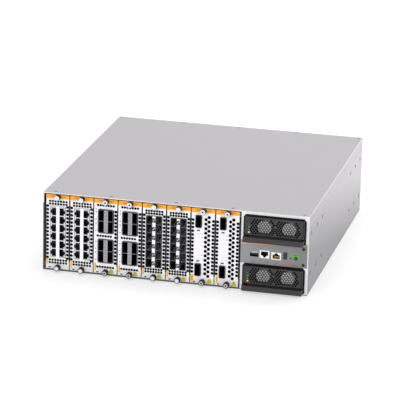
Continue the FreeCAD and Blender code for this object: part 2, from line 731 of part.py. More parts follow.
def network_ports(cell):
    """Ganged block of twelve network sockets in two columns, latches outward."""
    width, height, depth = NETWORK_BLOCK
    x, z = cell_middle(cell) + NETWORK_SHIFT, PLATE_CENTRE
    front = PLATE_FACE - NETWORK_PROUD
    nose = rounded_block(x, z, width, height, BLOCK_CORNER, front, PLATE_BACK + PLATE_SHEET)
    block = fused(nose, block_seat(cell, x, z, width, height, depth))
    across, along = SOCKET_MOUTH
    pockets = []
    for side in (-1, 1):
        near, far = SOCKET_FROM_MIDDLE, SOCKET_FROM_MIDDLE + across
        for row in evenly(z, NETWORK_ROW_PITCH, NETWORK_ROWS):
            xs = sorted((x + side * near, x + side * far))
            pocket = box(xs[0], xs[1], front - FIT, front + SOCKET_POCKET, row - along / 2, row + along / 2)
            reach = far
            for step, wide in LATCH_STEPS:
                xs = sorted((x + side * reach, x + side * (reach + step)))
                notch = box(xs[0], xs[1], front - FIT, front + SOCKET_POCKET, row - wide / 2, row + wide / 2)
                pocket = pocket.fuse(notch)
                reach += step
            pockets.append(pocket)
    return drilled(block, pockets)


def quad_block(cell, z):
    """Cage of four large sockets behind a rounded mouth, with a ribbed bar down its middle."""
    width, height, depth = QUAD_BLOCK
    x = cell_middle(cell) + QUAD_SHIFT
    front = PLATE_FACE - CAGE_PROUD
    inner = front + QUAD_SETBACK
    nose = rounded_block(x, z, width, height, QUAD_CORNER, front, PLATE_BACK + PLATE_SHEET)
    block = fused(nose, block_seat(cell, x, z, width, height, depth))
    inner_w, inner_h = width - 2 * QUAD_WALL, height - 2 * QUAD_WALL
    mouth = rounded_block(x, z, inner_w, inner_h, QUAD_CORNER - QUAD_WALL, front - FIT, inner)
    cuts = []
    for side in (-1, 1):
        xs = sorted((x + side * QUAD_BAR / 2, x + side * inner_w / 2))
        for up in (-1, 1):
            zs = sorted((z + up * QUAD_DIVIDER / 2, z + up * inner_h / 2))
            cuts.append(box(xs[0], xs[1], inner - FIT, front + QUAD_POCKET, zs[0], zs[1]))
    grooves = [
        box(
            x - QUAD_BAR / 2 + BAR_GROOVE, x + QUAD_BAR / 2 - BAR_GROOVE, inner - FIT,
            inner + BAR_GROOVE, row - BAR_GROOVE / 2, row + BAR_GROOVE / 2,
        )
        for row in evenly(z, BAR_GROOVE_PITCH, int(inner_h / BAR_GROOVE_PITCH) - 1)
    ]
    return drilled(block.cut(mouth), cuts + grooves)


def quad_ports(cell):
    """The two four-socket cages of one module."""
    return Part.makeCompound([quad_block(cell, PLATE_CENTRE + offset) for offset in QUAD_OFFSETS])


def cage_ports(cell):
    """Ganged cage of twelve small sockets, with a notched strip between its two columns."""
    width, height, depth = CAGE_BLOCK
    x, z = cell_middle(cell), PLATE_CENTRE
    front = PLATE_FACE - CAGE_PROUD
    inner = front + CAGE_SETBACK
    nose = rounded_block(x, z, width, height, BLOCK_CORNER, front, PLATE_BACK + PLATE_SHEET)
    block = fused(nose, block_seat(cell, x, z, width, height, depth))
    row_pitch = height / CAGE_ROWS
    cuts = []
    for side in (-1, 1):
        xs = sorted((x + side * CAGE_STRIP / 2, x + side * (width / 2 - CAGE_WALL)))
        mouth_half = height / 2 - CAGE_WALL
        mouth = box(xs[0], xs[1], front - FIT, inner, z - mouth_half, z + mouth_half)
        for row in evenly(z, row_pitch, CAGE_ROWS):
            half = (row_pitch - CAGE_DIVIDER) / 2
            pocket = box(xs[0], xs[1], inner - FIT, front + CAGE_POCKET, row - half, row + half)
            mouth = mouth.fuse(pocket)
        cuts.append(mouth)
    block = drilled(block, cuts)
    notches = [
        box(
            x - CAGE_STRIP, x + CAGE_STRIP, front - FIT, inner,
            row - STRIP_NOTCH / 2, row + STRIP_NOTCH / 2,
        )
        for row in evenly(z, row_pitch, CAGE_ROWS)
    ]
    return drilled(block, notches)


def pair_block(cell, z):
    """One large single socket."""
    width, height, depth = PAIR_BLOCK
    x = cell_middle(cell) + PAIR_SHIFT
    front = PLATE_FACE - CAGE_PROUD
    nose = rounded_block(x, z, width, height, PAIR_CORNER, front, PLATE_BACK + PLATE_SHEET)
    block = fused(nose, block_seat(cell, x, z, width, height, depth))
    inner_w, inner_h = width - 2 * PAIR_WALL, height - 2 * PAIR_WALL
    return block.cut(
        rounded_block(x, z, inner_w, inner_h, PAIR_CORNER - PAIR_WALL, front - FIT, front + PAIR_POCKET)
    )


def pair_ports(cell):
    """The two single sockets of one module."""
    return Part.makeCompound([pair_block(cell, PLATE_CENTRE + offset) for offset in PAIR_OFFSETS])


def network_openings(cell):
    """Cuts in a network module's faceplate."""
    width, height, _ = NETWORK_BLOCK
    cuts = [window(cell_middle(cell) + NETWORK_SHIFT, PLATE_CENTRE, width, height, BLOCK_CORNER)]
    cuts += vent_rows_beyond(cell, height, NETWORK_VENTS)
    return cuts + side_vents(cell, True)


def quad_openings(cell):
    """Cuts in a four-socket module's faceplate."""
    width, height, _ = QUAD_BLOCK
    middle = cell_middle(cell)
    pitch = QUAD_VENT_PITCH
    cuts = [
        window(middle + QUAD_SHIFT, PLATE_CENTRE + offset, width, height, QUAD_CORNER)
        for offset in QUAD_OFFSETS
    ]
    above = PLATE_CENTRE + QUAD_OFFSETS[0] + height / 2 + QUAD_VENT_ABOVE
    below = PLATE_CENTRE + QUAD_OFFSETS[1] - height / 2 - QUAD_VENT_BELOW
    for z in (above, below):
        cuts += vent_row(middle, z, pitch, VENT_ROW_COUNT)
    between = PLATE_CENTRE + (QUAD_OFFSETS[0] + QUAD_OFFSETS[1]) / 2
    cuts += vent_row(middle - pitch / 2, between, pitch, VENT_ROW_COUNT - 1)
    return cuts + side_vents(cell, False)


def cage_openings(cell):
    """Cuts in a small-cage module's faceplate."""
    width, height, _ = CAGE_BLOCK
    cuts = [window(cell_middle(cell), PLATE_CENTRE, width, height, BLOCK_CORNER)]
    cuts += vent_rows_beyond(cell, height, CAGE_VENTS)
    return cuts + side_vents(cell, True)


def pair_openings(cell):
    """Cuts in a two-socket module's faceplate, with two staggered columns of large vents."""
    width, height, _ = PAIR_BLOCK
    middle = cell_middle(cell)
    cuts = [
        window(middle + PAIR_SHIFT, PLATE_CENTRE + offset, width, height, PAIR_CORNER)
        for offset in PAIR_OFFSETS
    ]
    for shift, count in LARGE_VENT_COLUMNS:
        for z in evenly(PLATE_CENTRE, LARGE_VENT_PITCH, count):
            cuts.append(rod_y(middle + shift, z, LARGE_VENT, PLATE_FACE - FIT, PLATE_BACK + FIT))
    return cuts + side_vents(cell, True)


OPENINGS = {
    "network": network_openings,
    "quad": quad_openings,
    "cage": cage_openings,
    "pair": pair_openings,
}
PORTS = {"network": network_ports, "quad": quad_ports, "cage": cage_ports, "pair": pair_ports}


def faceplate(cell, kind):
    """Finished faceplate of one module."""
    x = knob_xs()[cell]
    shank_holes = [
        rod_y(x, z, KNOB_SHANK_HOLE, PLATE_FACE - FIT, PLATE_FACE + END_FLANGE_DEPTH + FIT)
        for z in knob_zs()
    ]
    return drilled(plate_pan(cell), OPENINGS[kind](cell) + shank_holes)


def board(cell):
    """Upright circuit board of one module."""
    x = board_left(cell)
    return box(x, x + BOARD, PLATE_BACK, PLATE_BACK + BOARD_LENGTH, BOARD_BOTTOM, BOARD_TOP)


def thumbscrew(x, z, recessed):
    """Captive thumbscrew: a grooved knob in front of the plate and a shank into the rail."""
    face = PLATE_FACE - KNOB_LENGTH
    radius = KNOB / 2
    groove = PLATE_FACE - KNOB_NECK
    tip = FRONT + RAIL_SETBACK + KNOB_REACH
    profile = [
        (0, face),
        (radius - KNOB_CHAMFER, face),
        (radius, face + KNOB_CHAMFER),
        (radius, groove),
        (radius - KNOB_GROOVE, groove),
        (radius - KNOB_GROOVE, PLATE_FACE - RUNNING_FIT),
        (KNOB_SHANK / 2, PLATE_FACE - RUNNING_FIT),
        (KNOB_SHANK / 2, tip),
        (0, tip),
    ]
    points = [V(r, y, 0) for r, y in profile]
    screw = Part.Face(Part.makePolygon(points + points[:1])).revolve(V(0, 0, 0), V(0, 1, 0), 360)
    screw.translate(V(x, 0, z))
    if recessed:
        screw = screw.cut(hexagon_y(x, z, DRIVE_RECESS, face - FIT, face + DRIVE_RECESS_DEPTH))
    return screw


def write_modules():
    """All the nodes of the eight modules."""
    for cell, kind in enumerate(KINDS[:MODULE_COUNT]):
        name = f"module_{cell + 1}"
        write(f"{name}_faceplate", faceplate(cell, kind))
        write(f"{name}_board", board(cell))
        write(f"{name}_ports", PORTS[kind](cell))
        recessed = kind in ("quad", "pair")
        for end, z in zip(("bottom", "top"), knob_zs()):
            write(f"{name}_{end}_screw", thumbscrew(knob_xs()[cell], z, recessed))


# ================================================================ power units
def power_case_sides():
    """Left and right faces of a power unit's case."""
    return POWER_LEFT + CASE_SIDE_GAP, POWER_RIGHT - CASE_SIDE_GAP


def power_case_middle():
    """Middle of the power units, across."""
    left, right = power_case_sides()
    return (left + right) / 2


def power_case_front():
    """Front edge of a power unit's case, against the back of its bezel."""
    return FRONT + BEZEL_RECESS + BEZEL_FLANGE


def power_case_rear():
    """Rear face of a power unit's case, just clear of its socket on the backplane."""
    return BACKPLANE_FRONT - POWER_SOCKET_DEPTH - FIT


def fan_xs():
    """Fan axes of a power unit."""
    return evenly(power_case_middle() + FAN_SHIFT, FAN_PITCH, 2)


def grille_holes(bottom):
    """Six-sided holes of the staggered grille, kept to a round field in front of each fan."""
    left, right = POWER_LEFT + BODY_LEFT_INSET, POWER_RIGHT - BODY_RIGHT_INSET
    low, high = bottom + BODY_BOTTOM_RISE, bottom + POWER_OPENING_HEIGHT - FIT - BODY_TOP_INSET
    margin = GRILLE_HOLE / math.sqrt(3) + GRILLE_EDGE
    middle_x, middle_z = power_case_middle() + FAN_SHIFT, bottom + FAN_RISE
    rows = int(POWER_OPENING_HEIGHT / GRILLE_ROW_PITCH)
    columns = int(POWER_OPENING_WIDTH / GRILLE_PITCH)
    front = FRONT - BEZEL_PROUD
    holes = []
    for i in range(-rows, rows + 1):
        z = middle_z + i * GRILLE_ROW_PITCH
        stagger = GRILLE_PITCH / 2 if i % 2 else 0.0
        for j in range(-columns, columns + 1):
            x = middle_x + j * GRILLE_PITCH + stagger
            inside = left + margin < x < right - margin and low + margin < z < high - margin
            near = min(math.hypot(x - fx, z - middle_z) for fx in fan_xs()) < GRILLE_RADIUS
            if inside and near:
                holes.append(hexagon_y(x, z, GRILLE_HOLE, front - FIT, front + BEZEL_WALL + FIT))
    return holes


def power_bezel(opening):
    """Moulded front of a power unit: flange, raised face with its grille, and handle bar."""
    bottom = opening + FIT
    top = opening + POWER_OPENING_HEIGHT - FIT
    across, down = CORNER_CUT
    left, right = POWER_LEFT + BEZEL_SIDE_GAP, POWER_RIGHT - BEZEL_SIDE_GAP
    flange_front = FRONT + BEZEL_RECESS
    flange_back = flange_front + BEZEL_FLANGE
    corner_gap = FIT * 2
    flange = prism_y(
        [
            (left, bottom),
            (right, bottom),
            (right, top - down - corner_gap),
            (right - across - corner_gap, top),
            (left + across + corner_gap, top),
            (left, top - down - corner_gap),
        ],
        flange_front, flange_back,
    )
    body_left, body_right = POWER_LEFT + BODY_LEFT_INSET, POWER_RIGHT - BODY_RIGHT_INSET
    body_low, body_high = bottom + BODY_BOTTOM_RISE, top - BODY_TOP_INSET
    front = FRONT - BEZEL_PROUD
    body = box(body_left, body_right, front, flange_back, body_low, body_high)
    edges = [
        e for e in body.Edges
        if abs(e.Vertexes[0].Y - front) < 1e-6 and abs(e.Vertexes[1].Y - front) < 1e-6
    ]
    body = body.makeChamfer(BODY_CHAMFER, edges)
    bar_front = FRONT - HANDLE_PROUD
    bar_left = POWER_LEFT + HANDLE_LEFT_INSET
    bar = box(bar_left, body_right, bar_front, bar_front + HANDLE_THICKNESS, bottom, bottom + HANDLE_HEIGHT)
    posts = [
        box(x, x + HANDLE_POST, bar_front, flange_back, bottom, bottom + HANDLE_HEIGHT)
        for x in (bar_left, body_right - HANDLE_POST)
    ]
    handle = fused(bar, *posts)
    bar_edges = [
        e for e in handle.Edges
        if abs(e.Vertexes[0].Y - bar_front) < 1e-6 and abs(e.Vertexes[1].Y - bar_front) < 1e-6
    ]
    handle = handle.makeFillet(HANDLE_ROUND, bar_edges)
    bezel = fused(flange, body, handle)
    cavity = box(
        body_left + BEZEL_WALL, body_right - BEZEL_WALL, front + BEZEL_WALL, flange_back + FIT,
        body_low + BEZEL_WALL, body_high - BEZEL_WALL,
    )
    return drilled(bezel.cut(cavity), grille_holes(bottom))


def power_case(opening):
    """Sheet case of a power unit with its two fan rings, their pins and its connector tongue."""
    left, right = power_case_sides()
    bottom = opening + FIT
    top = bottom + POWER_CASE_HEIGHT
    front, rear = power_case_front(), power_case_rear()
    baffle = front + FAN_BAY
    shell = box(left, right, front, rear, bottom, top)
    skin = CASE_SHEET
    fan_bay = box(left + skin, right - skin, front - FIT, baffle, bottom + skin, top - skin)
    inside = box(left + skin, right - skin, baffle + skin, rear - skin, bottom + skin, top - skin)
    shell = shell.cut(fan_bay).cut(inside)
    z = bottom + FAN_RISE
    ring_outer = POWER_CASE_HEIGHT - skin
    bore_depth = (front + FIT, baffle + skin + FIT)
    for x in fan_xs():
        ring = rod_y(x, z, ring_outer, front + FIT, baffle + skin)
        ring = ring.common(box(left, right, front, rear, bottom, top))
        shell = shell.fuse(ring).cut(rod_y(x, z, FAN_BORE, *bore_depth))
    additions = []
    for x in fan_xs():
        additions.append(rod_y(x, z, FAN_BOSS, baffle - skin, baffle + skin))
        additions.append(rod_y(x, z, FAN_PIN, baffle - skin - FAN_PIN_LENGTH, baffle))
        for k in range(4):
            reach = FAN_BORE / 2 + skin / 2
            half = FAN_STRUT / 2
            strut = box(x, x + reach, baffle - skin, baffle + skin, z - half, z + half)
            strut.rotate(V(x, baffle, z), V(0, 1, 0), 45 + 90 * k)
            additions.append(strut)
    width, thick, reach = TONGUE
    x, middle = power_case_middle(), bottom + POWER_CASE_HEIGHT / 2
    additions.append(
        box(x - width / 2, x + width / 2, rear - skin, rear + reach, middle - thick / 2, middle + thick / 2)
    )
    return fused(shell, *additions)


def fan_rotor(opening, x):
    """Hub and blades of one cooling fan, bored for its pin."""
    z = opening + FIT + FAN_RISE
    baffle = power_case_front() + FAN_BAY
    back = baffle - CASE_SHEET - FIT
    front = back - FAN_HUB_DEPTH
    hub = rod_y(x, z, FAN_HUB, front, back)
    rim = hub.Edges
    hub = hub.makeFillet(FAN_HUB_ROUND, [e for e in rim if abs(e.Vertexes[0].Y - front) < 1e-6])
    tip = FAN_BORE / 2 - FAN_TIP_GAP
    middle = (front + back) / 2
    blades = []
    for k in range(FAN_BLADES):
        blade = box(
            -FAN_BLADE_CHORD / 2, FAN_BLADE_CHORD / 2, -FAN_BLADE / 2, FAN_BLADE / 2,
            FAN_HUB / 2 - FAN_BLADE_ROOT, tip + FAN_BLADE_ROOT,
        )
        blade.rotate(V(0, 0, 0), V(0, 0, 1), FAN_BLADE_ANGLE)
        blade.rotate(V(0, 0, 0), V(0, 1, 0), 360.0 * k / FAN_BLADES)
        blade.translate(V(x, middle, z))
        blades.append(blade)
    sweep = rod_y(x, z, 2 * tip, front, back)
    rotor = fused(hub, *[blade.common(sweep) for blade in blades])
    return rotor.cut(rod_y(x, z, FAN_PIN + 2 * RUNNING_FIT, back - FAN_PIN_LENGTH, back + FIT))


def write_power_units():
    """All the nodes of the two power units."""
    for name, opening in (("lower", LOWER_OPENING), ("upper", UPPER_OPENING)):
        write(f"power_{name}_bezel", power_bezel(opening))
        write(f"power_{name}_housing", power_case(opening))
        for side, x in zip(("left", "right"), fan_xs()):
            write(f"power_{name}_{side}_fan", fan_rotor(opening, x))


# ================================================================ management
def on_panel(across, up):
    """Place on the management panel, from the power bay's left edge and the panel zone's bottom."""
    return FRAME_LEFT + across, MANAGEMENT_BOTTOM + up


def panel_window(item):
    """Cutter for a socket's window in the management panel."""
    across, up, width, height, _ = item
    x, z = on_panel(across, up)
    half_w, half_h = width / 2 + WINDOW_FIT, height / 2 + WINDOW_FIT
    return box(x - half_w, x + half_w, FRONT - PANEL - FIT, FRONT + FIT, z - half_h, z + half_h)


def management_panel():
    """Front sheet between the power units."""
    panel = box(
        FRAME_LEFT + PANEL_LEFT_INSET, HALF - PANEL_RIGHT_INSET, FRONT - PANEL, FRONT,
        MANAGEMENT_BOTTOM + PANEL_BOTTOM_RISE, UPPER_OPENING - PANEL_TOP_DROP,
    )
    cuts = [panel_window(p) for p in (USB, NETWORK_LOW, NETWORK_HIGH, DISPLAY)]
    through = (FRONT - PANEL - FIT, FRONT + FIT)
    cuts.append(rod_y(*on_panel(*RESET_HOLE), RESET_HOLE_DIAMETER, *through))
    cuts.append(rod_y(*on_panel(*BUTTON), BUTTON_DIAMETER + 2 * FIT, *through))
    return drilled(panel, cuts + screw_holes(panel_screw_places()))


def panel_network_socket(place, latch_up):
    """Network socket housing standing on the control board."""
    across, rise, width, height, depth = place
    x, z = on_panel(across, rise)
    front = FRONT - PANEL - PANEL_SOCKET_PROUD
    shell = box(x - width / 2, x + width / 2, front, front + depth, z - height / 2, z + height / 2)
    foot = box(x - width / 2, x + width / 2, FRONT + FIT, front + depth, board_top(), z)
    mouth_w, mouth_h, mouth_d = PANEL_SOCKET
    up = 1 if latch_up else -1
    inner = (front - FIT, front + mouth_d)
    mouth = z - up * PANEL_LATCH_SHIFT
    pocket = box(x - mouth_w / 2, x + mouth_w / 2, *inner, mouth - mouth_h / 2, mouth + mouth_h / 2)
    reach = mouth_h / 2 - PANEL_LATCH_SHIFT
    for wide, step in PANEL_LATCH:
        zs = sorted((z + up * reach, z + up * (reach + step)))
        pocket = pocket.fuse(box(x - wide / 2, x + wide / 2, *inner, zs[0], zs[1]))
        reach += step
    return fused(shell, foot).cut(pocket)


def usb_socket():
    """Flat serial-bus socket with its tongue."""
    across, rise, width, height, depth = USB
    x, z = on_panel(across, rise)
    front = FRONT - PANEL - PANEL_SOCKET_PROUD
    wall = USB_WALL
    shell = box(x - width / 2, x + width / 2, front, front + depth, z - height / 2, z + height / 2)
    foot = box(x - width / 2, x + width / 2, FRONT + FIT, front + depth, board_top(), z)
    pocket = box(
        x - width / 2 + wall, x + width / 2 - wall, front - FIT, front + depth - USB_FLOOR,
        z - height / 2 + wall, z + height / 2 - wall,
    )
    tongue_w, tongue_t, setback = USB_TONGUE
    low = z + USB_TONGUE_RISE
    tongue = box(x - tongue_w / 2, x + tongue_w / 2, front + setback, front + depth, low, low + tongue_t)
    return fused(fused(shell, foot).cut(pocket), tongue)


def board_top():
    """Top face of the control board."""
    return MANAGEMENT_BOTTOM + CONTROL_BOARD_RISE + BOARD


def control_board():
    """Level board behind the management panel, with its sockets, display and push switch soldered on."""
    underside = board_top() - BOARD
    sheet = box(
        FRAME_LEFT + SHEET + FIT, HALF - 2 * SHEET - 2 * FIT, FRONT + SHEET + FIT, BACKPLANE_FRONT - FIT,
        underside, board_top(),
    )
    across, rise, width, height, depth = DISPLAY
    x, z = on_panel(across, rise)
    left, right = x - width / 2, x + width / 2
    back = FRONT - PANEL + depth
    display = box(left, right, FRONT - PANEL, back, z - height / 2, z + height / 2)
    display_foot = box(left, right, FRONT + FIT, back, board_top(), z)
    body, body_depth = SWITCH_BODY
    bx, bz = on_panel(*BUTTON)
    y0 = switch_front()
    switch = box(bx - body / 2, bx + body / 2, y0, y0 + body_depth, board_top(), bz + body / 2)
    switch = switch.cut(rod_y(bx, bz, BUTTON_STEM + 2 * RUNNING_FIT, y0 - FIT, y0 + body_depth - FIT))
    sockets = [panel_network_socket(NETWORK_LOW, False), panel_network_socket(NETWORK_HIGH, True)]
    return fused(sheet, display, display_foot, switch, *sockets, usb_socket())


def switch_front():
    """Front face of the push switch's body, clear of the button at full travel."""
    return FRONT - PANEL - BUTTON_PROUD + BUTTON_CAP + BUTTON_TRAVEL + FIT


def push_button():
    """Round push button in the management panel with its stem in the switch."""
    x, z = on_panel(*BUTTON)
    face = FRONT - PANEL - BUTTON_PROUD
    cap = rod_y(x, z, BUTTON_DIAMETER, face, face + BUTTON_CAP)
    cap = cap.makeFillet(BUTTON_ROUND, [e for e in cap.Edges if abs(e.Vertexes[0].Y - face) < 1e-6])
    tip = switch_front() + SWITCH_BODY[1] - BUTTON_TRAVEL - 2 * FIT
    return fused(cap, rod_y(x, z, BUTTON_STEM, face + BUTTON_CAP, tip))


# ================================================================ output
def write(name, shape):
    """Write one node and report its solids."""
    shape.exportStep(f"parts/{name}.step")
    print(f"{name}: {len(shape.Solids)} solids, {shape.Volume / 1000:.2f} cm3, valid {shape.isValid()}")


def main():
    """Build every node."""
    os.makedirs("parts", exist_ok=True)
    write("chassis_tray", chassis_tray())
    write("top_cover", top_cover())
    write("power_bay_frame", power_bay_frame())
    write("rear_panel", rear_panel())
    write("power_inlets", power_inlets())
    write("module_rails", module_rails())
    write("slide_guides", slide_guides())
    write("backplane", backplane())
    write("chassis_screws", chassis_screws())
    write("management_panel", management_panel())
    write("control_board", control_board())
    write("push_button", push_button())
    write_modules()
    write_power_units()


main()
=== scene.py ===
"""Studio scene of a modular chassis switch: finishes, small details, lights and camera.

Every place is in metres in the part's own frame. Lengths are written in millimetres and scaled by MM.
"""

import logging
import math
from dataclasses import dataclass, field
from enum import Enum

import bmesh
import bpy
from mathutils import Matrix, Vector


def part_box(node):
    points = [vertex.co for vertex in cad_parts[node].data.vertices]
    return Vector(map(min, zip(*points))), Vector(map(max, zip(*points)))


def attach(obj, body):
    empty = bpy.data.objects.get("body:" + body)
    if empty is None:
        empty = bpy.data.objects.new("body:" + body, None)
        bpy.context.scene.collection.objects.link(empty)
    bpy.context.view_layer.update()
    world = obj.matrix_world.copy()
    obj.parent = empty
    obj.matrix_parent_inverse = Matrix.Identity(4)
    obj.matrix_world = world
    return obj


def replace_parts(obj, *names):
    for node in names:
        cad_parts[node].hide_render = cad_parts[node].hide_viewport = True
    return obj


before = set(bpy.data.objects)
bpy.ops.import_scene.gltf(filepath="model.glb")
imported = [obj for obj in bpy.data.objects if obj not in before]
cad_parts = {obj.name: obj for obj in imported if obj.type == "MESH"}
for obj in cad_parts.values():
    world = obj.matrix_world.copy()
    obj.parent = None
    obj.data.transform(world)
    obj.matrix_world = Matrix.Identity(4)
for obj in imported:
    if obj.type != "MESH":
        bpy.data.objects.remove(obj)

MM = 0.001
PER_METRE = 1000.0
SOFT_EDGE = 0.08
CELL_INSET = 0.6
WIRE_PITCH = 1.02
WIRES = 8
LOG = logging.getLogger("chassis_switch")
Colour = tuple[float, float, float]
Place = tuple[float, float, float]


def tone(red: int, green: int, blue: int) -> Colour:
    """Linear colour of an eight-bit display colour.

    Args:
        red: Red, 0 to 255.
        green: Green, 0 to 255.
        blue: Blue, 0 to 255.

    Returns:
        The same colour in linear light.
    """
    parts = (red / 255, green / 255, blue / 255)
    return tuple(v / 12.92 if v <= 0.04045 else ((v + 0.055) / 1.055) ** 2.4 for v in parts)


class Kind(Enum):
    """The four kinds of plug-in module."""

    NETWORK = "network"
    QUAD = "quad"
    CAGE = "cage"
    PAIR = "pair"


class End(Enum):
    """The two ends of a module's faceplate."""

    BOTTOM = "bottom"
    TOP = "top"


class Level(Enum):
    """The two places of a power unit."""

    UPPER = "upper"
    LOWER = "lower"


class Side(Enum):
    """The two fans of a power unit."""

    LEFT = "left"
    RIGHT = "right"


class Axis(Enum):
    """The level axis along which a board lies."""

    X = "x"
    Y = "y"


MODULES: tuple[Kind, ...] = (
    Kind.NETWORK, Kind.NETWORK, Kind.QUAD, Kind.QUAD, Kind.CAGE, Kind.CAGE, Kind.PAIR, Kind.PAIR,
)
HALF_WIDTHS: dict[Kind, float] = {Kind.NETWORK: 13.2, Kind.QUAD: 13.1, Kind.CAGE: 13.2, Kind.PAIR: 5.2}
# Each module's yellow bar: left and right from its cell's left edge, then bottom and top.
LABELS: tuple[tuple[float, float, float, float], ...] = (
    (1.2, 4.6, 11.4, 20.9), (1.4, 4.7, 8.1, 21.4), (2.0, 5.0, 9.2, 21.4), (2.0, 5.0, 9.2, 21.4),
    (1.5, 4.6, 9.5, 21.3), (1.5, 4.6, 9.5, 21.3), (0.9, 6.3, 5.9, 18.7), (2.6, 6.3, 7.8, 19.7),
)


# ---------------------------------------------------------------- shader maths
class Signal:
    """A shader value or colour: Python's operators add the Math nodes."""

    def __init__(self, tree: bpy.types.NodeTree, socket: bpy.types.NodeSocket) -> None:
        """Keep the tree and the socket that gives the value."""
        self.tree = tree
        self.socket = socket

    def _maths(self, operation: str, *others: "Signal | float", flip: bool = False) -> "Signal":
        """Add one Math node.

        Args:
            operation: The node's operation.
            others: Further operands.
            flip: Whether this value is the second operand.

        Returns:
            The node's result.
        """
        node = self.tree.nodes.new("ShaderNodeMath")
        node.operation = operation
        operands = [self, *others]
        if flip:
            operands.reverse()
        for slot, operand in zip(node.inputs, operands):
            if isinstance(operand, Signal):
                self.tree.links.new(operand.socket, slot)
            else:
                slot.default_value = operand
        return Signal(self.tree, node.outputs[0])

    def __add__(self, other: "Signal | float") -> "Signal":
        """Sum."""
        return self._maths("ADD", other)

    __radd__ = __add__

    def __sub__(self, other: "Signal | float") -> "Signal":
        """Difference."""
        return self._maths("SUBTRACT", other)

    def __rsub__(self, other: "Signal | float") -> "Signal":
        """Difference, the other way round."""
        return self._maths("SUBTRACT", other, flip=True)

    def __mul__(self, other: "Signal | float") -> "Signal":
        """Product."""
        return self._maths("MULTIPLY", other)

    __rmul__ = __mul__

    def size(self) -> "Signal":
        """Value without its sign."""
        return self._maths("ABSOLUTE")

    def root(self) -> "Signal":
        """Square root."""
        return self._maths("SQRT")

    def most(self, other: "Signal | float") -> "Signal":
        """Larger of two values."""
        return self._maths("MAXIMUM", other)

    def least(self, other: "Signal | float") -> "Signal":
        """Smaller of two values."""
        return self._maths("MINIMUM", other)

    def off_row(self, first: float, pitch: float, count: int) -> "Signal":
        """Distance to the nearest place of a row of evenly spaced places.

        Args:
            first: First place.
            pitch: Step from one place to the next.
            count: How many places the row has.

        Returns:
            The distance, without its sign.
        """
        number = ((self - first) * (1.0 / pitch) + 0.5)._maths("FLOOR").most(0.0).least(count - 1.0)
        return (self - (number * pitch + first)).size()

    def wrapped(self, span: float) -> "Signal":
        """Value folded into the range from 0 to a span."""
        return self._maths("FLOORED_MODULO", span)

    def past(self, edge: "Signal | float", soft: float = SOFT_EDGE) -> "Signal":
        """Mask that is 1 where the value is above an edge.

        Args:
            edge: Where the mask turns on.
            soft: How wide the change is.

        Returns:
            The mask, from 0 to 1.
        """
        ramp = (self - edge)._maths("MULTIPLY_ADD", 1.0 / soft, 0.5)
        ramp.socket.node.use_clamp = True
        return ramp

    def between(self, low: float, high: float, soft: float = SOFT_EDGE) -> "Signal":
        """Mask that is 1 where the value lies between two edges."""
        middle, half = (low + high) / 2, (high - low) / 2
        return 1.0 - (self - middle).size().past(half, soft)


